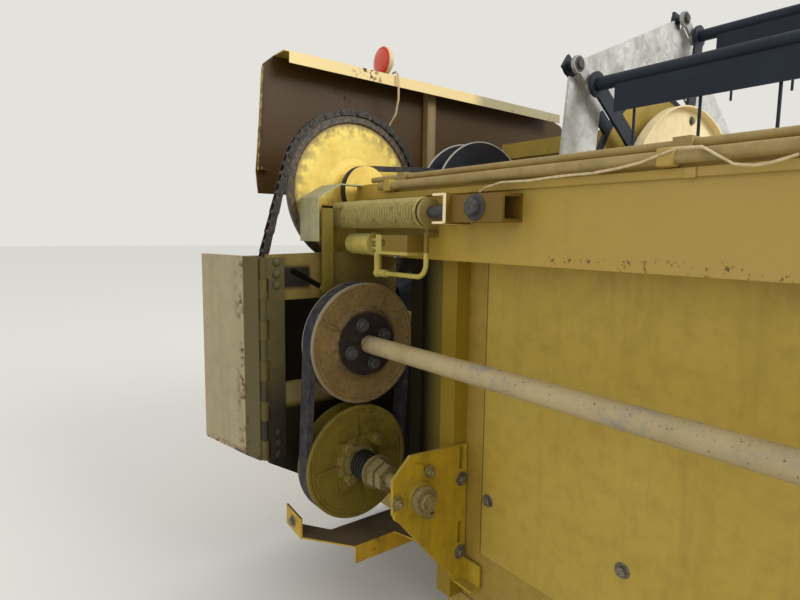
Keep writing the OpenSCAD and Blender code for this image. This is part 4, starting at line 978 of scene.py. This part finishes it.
class HEADER_OT_reel_fittings(bpy.types.Operator):
    """Nut the reel's crank pins and bolt its discs to the spiders"""
    bl_idname = "header.reel_fittings"
    bl_label = "Reel fittings"

    def execute(self, context):
        ring_face, crank_face = -REEL_HALF - 0.066, -REEL_HALF - 0.030
        pins = [bat + CRANK for bat in BATS]
        spots = [Vector((ring_face, p.y, p.z)) for p in pins]
        fasten("ring_pin_nuts", hex_bolt(0.015, 0.005), spots, -X, ZINC, "control_ring")
        for k, p in enumerate(pins, 1):
            spots = [Vector((crank_face, p.y, p.z))]
            fasten("crank_nut_%d" % k, hex_bolt(0.013, 0.006), spots, X, HUB_BOLT, "bat_%d" % k)
        places, proud, rows = [], 0.010, (DISC - 0.034, DISC - 0.090)
        for x in (-REEL_HALF, -REEL_HALF / 2, 0, REEL_HALF / 2, REEL_HALF):
            axis = X if x < 0 else -X
            for bat in BATS:
                out = math.degrees(math.atan2(bat.z - REEL.z, bat.y - REEL.y))
                for radius in rows:
                    spot = turned(REEL, x - proud * axis.x, radius, (out,))[0]
                    places.append(standing(spot, axis))
        finish(copies(hex_bolt(0.0095, 0.007), places), "disc_bolts", ZINC, "reel")
        return {"FINISHED"}


class HEADER_OT_chain(bpy.types.Operator):
    """Lay the reel's roller chain link by link round its three wheels"""
    bl_idname = "header.chain"
    bl_label = "Reel chain"

    def execute(self, context):
        pitch = context.scene.header_fasteners.chain_pitch
        wheels = [(PIVOT, 0.210), (IDLER, 0.045), (LOWER, 0.062)]
        inner_side, outer_side, half_height = 0.0085, 0.0108, 0.0086
        places = loop_steps(wheels, pitch)
        kinds = [[], []]
        for i, (y, z) in enumerate(places):
            y1, z1 = places[(i + 1) % len(places)]
            spot = Matrix.Translation((PIVOT.x, y, z))
            kinds[i % 2].append(spot @ Matrix.Rotation(math.atan2(z1 - z, y1 - y), 4, "X"))
        inner = copies(chain_link(pitch, inner_side, half_height), kinds[0])
        outer = copies(chain_link(pitch, outer_side, half_height), kinds[1])
        chain = finish(join(inner, outer), "roller_chain", GREASY)
        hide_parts("reel_chain")
        return {"FINISHED"}


class HEADER_OT_springs(bpy.types.Operator):
    """Wind the belt tension spring and the clutch spring"""
    bl_idname = "header.springs"
    bl_label = "Springs"

    def execute(self, context):
        wire = context.scene.header_fasteners.spring_wire
        low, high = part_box("tension_spring")
        middle = (low + high) / 2
        spring = coil(0.030, wire, pitch=0.0096, turns=37, sides=8, steps=22)
        spring.location = (low.x + wire, middle.y, middle.z)
        spring = finish(spring, "long_spring", "Spring steel in faded enamel")
        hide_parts("tension_spring")
        low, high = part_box("clutch_spring")
        wire, turns = 0.0045, 5
        pitch = (high.x - low.x - 2 * wire) / turns
        small = coil(0.031, wire, pitch, turns, sides=10, steps=28)
        small.location = (low.x + wire, LOWER.y, LOWER.z)
        small = finish(small, "coil_spring", "Oil-blackened spring steel", "lower_shaft")
        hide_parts("clutch_spring")
        return {"FINISHED"}


class HEADER_OT_tine_coils(bpy.types.Operator):
    """Coil each tine's clip round its bat's edge"""
    bl_idname = "header.tine_coils"
    bl_label = "Tine coils"

    def execute(self, context):
        size = context.scene.header_fasteners.tine_coil
        wire, pitch, turns = 0.0030, 0.0066, 3
        reach = REEL_HALF - 0.082
        along = [(2 * i / (TINES - 1) - 1) * reach - pitch * turns / 2 for i in range(TINES)]
        for k, bat in enumerate(BATS, 1):
            clip = coil(size, wire, pitch, turns, sides=6, steps=12)
            row = copies(clip, [Matrix.Translation((x, bat.y + 0.003, bat.z - 0.030)) for x in along])
            finish(row, "tine_coils_%d" % k, "Tine wire, bright drawn", "bat_%d" % k)
        return {"FINISHED"}


class HEADER_OT_stage(bpy.types.Operator):
    """Set the floor, the lights and the camera of the studio"""
    bl_idname = "header.stage"
    bl_label = "Studio"

    def execute(self, context):
        studio = context.scene.header_studio
        bpy.ops.mesh.primitive_plane_add(size=80, location=(0, 0, -0.0005))
        floor = bpy.context.object
        floor.name = "floor"
        floor.data.materials.append(bpy.data.materials["Studio floor"])
        self.make_world(context.scene, studio)
        lamp = bpy.data.lights.new("key", "AREA")
        lamp.shape = "DISK"
        lamp.size = KEY_SIZE
        lamp.energy = studio.key
        key = bpy.data.objects.new("key", lamp)
        context.scene.collection.objects.link(key)
        key.location = KEY_PLACE
        key.rotation_euler = (KEY_AIM - KEY_PLACE).to_track_quat("-Z", "Y").to_euler()
        self.place_camera(context.scene)
        context.scene.view_settings.view_transform = "Standard"
        return {"FINISHED"}

    @staticmethod
    def make_world(scene, studio):
        """Even pale light from all round, with the backdrop's colour seen behind."""
        world = bpy.data.worlds.new("Studio")
        scene.world = world
        world.use_nodes = True
        tree = world.node_tree
        tree.nodes.clear()
        path = add(tree, "LightPath")
        seen = widest(tree, (path, "Is Camera Ray"), (path, "Is Glossy Ray"),
                      (path, "Is Transmission Ray"))
        light = add(tree, "Background", {"Color": (1, 1, 1, 1), "Strength": studio.ambient})
        back = add(tree, "Background", {"Color": studio.backdrop, "Strength": 1.0})
        both = add(tree, "MixShader", {}, {0: seen, 1: (light, 0), 2: (back, 0)})
        add(tree, "OutputWorld", {}, {0: (both, 0)})

    @staticmethod
    def place_camera(scene):
        """Stand the camera where the photograph was taken, with its lens."""
        lens = bpy.data.cameras.new("camera")
        lens.sensor_fit = "HORIZONTAL"
        lens.sensor_width = CAMERA_SENSOR
        lens.lens = CAMERA_LENS
        lens.clip_start, lens.clip_end = 0.02, 200
        yaw, pitch, roll = (math.radians(a) for a in CAMERA_YAW_PITCH_ROLL)
        forward = Vector((-math.sin(yaw) * math.cos(pitch), math.cos(yaw) * math.cos(pitch),
                          -math.sin(pitch)))
        level = Vector((math.cos(yaw), math.sin(yaw), 0))
        above = level.cross(forward)
        right = level * math.cos(roll) + above * math.sin(roll)
        up = above * math.cos(roll) - level * math.sin(roll)
        turn = Matrix((right, up, -forward)).transposed().to_4x4()
        camera = bpy.data.objects.new("camera", lens)
        scene.collection.objects.link(camera)
        camera.matrix_world = Matrix.Translation(CAMERA_PLACE) @ turn
        scene.camera = camera


class HEADER_PT_panel(bpy.types.Panel):
    """Finishes and small parts of the header"""
    bl_idname = "HEADER_PT_panel"
    bl_label = "Header"
    bl_space_type = "VIEW_3D"
    bl_region_type = "UI"
    bl_category = "Header"

    def draw(self, context):
        scene = context.scene
        for group in (scene.header_fasteners, scene.header_studio):
            box = self.layout.box()
            for name in group.__annotations__:
                box.prop(group, name)
        for operator in OPERATORS:
            self.layout.operator(operator.bl_idname)


OPERATORS = (HEADER_OT_paint, HEADER_OT_hub_bolts, HEADER_OT_lower_bolts, HEADER_OT_hinge,
             HEADER_OT_frame_bolts, HEADER_OT_beam_lines, HEADER_OT_spring_anchor,
             HEADER_OT_guide_sheave, HEADER_OT_reel_fittings, HEADER_OT_chain,
             HEADER_OT_springs, HEADER_OT_tine_coils, HEADER_OT_stage)
GROUPS = (HeaderFasteners, HeaderStudio)


def register():
    """Register the settings, operators and panel."""
    for cls in GROUPS + OPERATORS + (HEADER_PT_panel,):
        bpy.utils.register_class(cls)
    bpy.types.Scene.header_fasteners = bpy.props.PointerProperty(type=HeaderFasteners)
    bpy.types.Scene.header_studio = bpy.props.PointerProperty(type=HeaderStudio)


def unregister():
    """Take the settings, operators and panel away again."""
    del bpy.types.Scene.header_studio
    del bpy.types.Scene.header_fasteners
    for cls in reversed(GROUPS + OPERATORS + (HEADER_PT_panel,)):
        bpy.utils.unregister_class(cls)


def main():
    """Make everything in order."""
    register()
    bpy.ops.header.paint()
    bpy.ops.header.hub_bolts()
    bpy.ops.header.lower_bolts()
    bpy.ops.header.hinge()
    bpy.ops.header.frame_bolts()
    bpy.ops.header.beam_lines()
    bpy.ops.header.spring_anchor()
    bpy.ops.header.guide_sheave()
    bpy.ops.header.reel_fittings()
    bpy.ops.header.chain()
    bpy.ops.header.springs()
    bpy.ops.header.tine_coils()
    bpy.ops.header.stage()


if __name__ == "__main__":
    main()
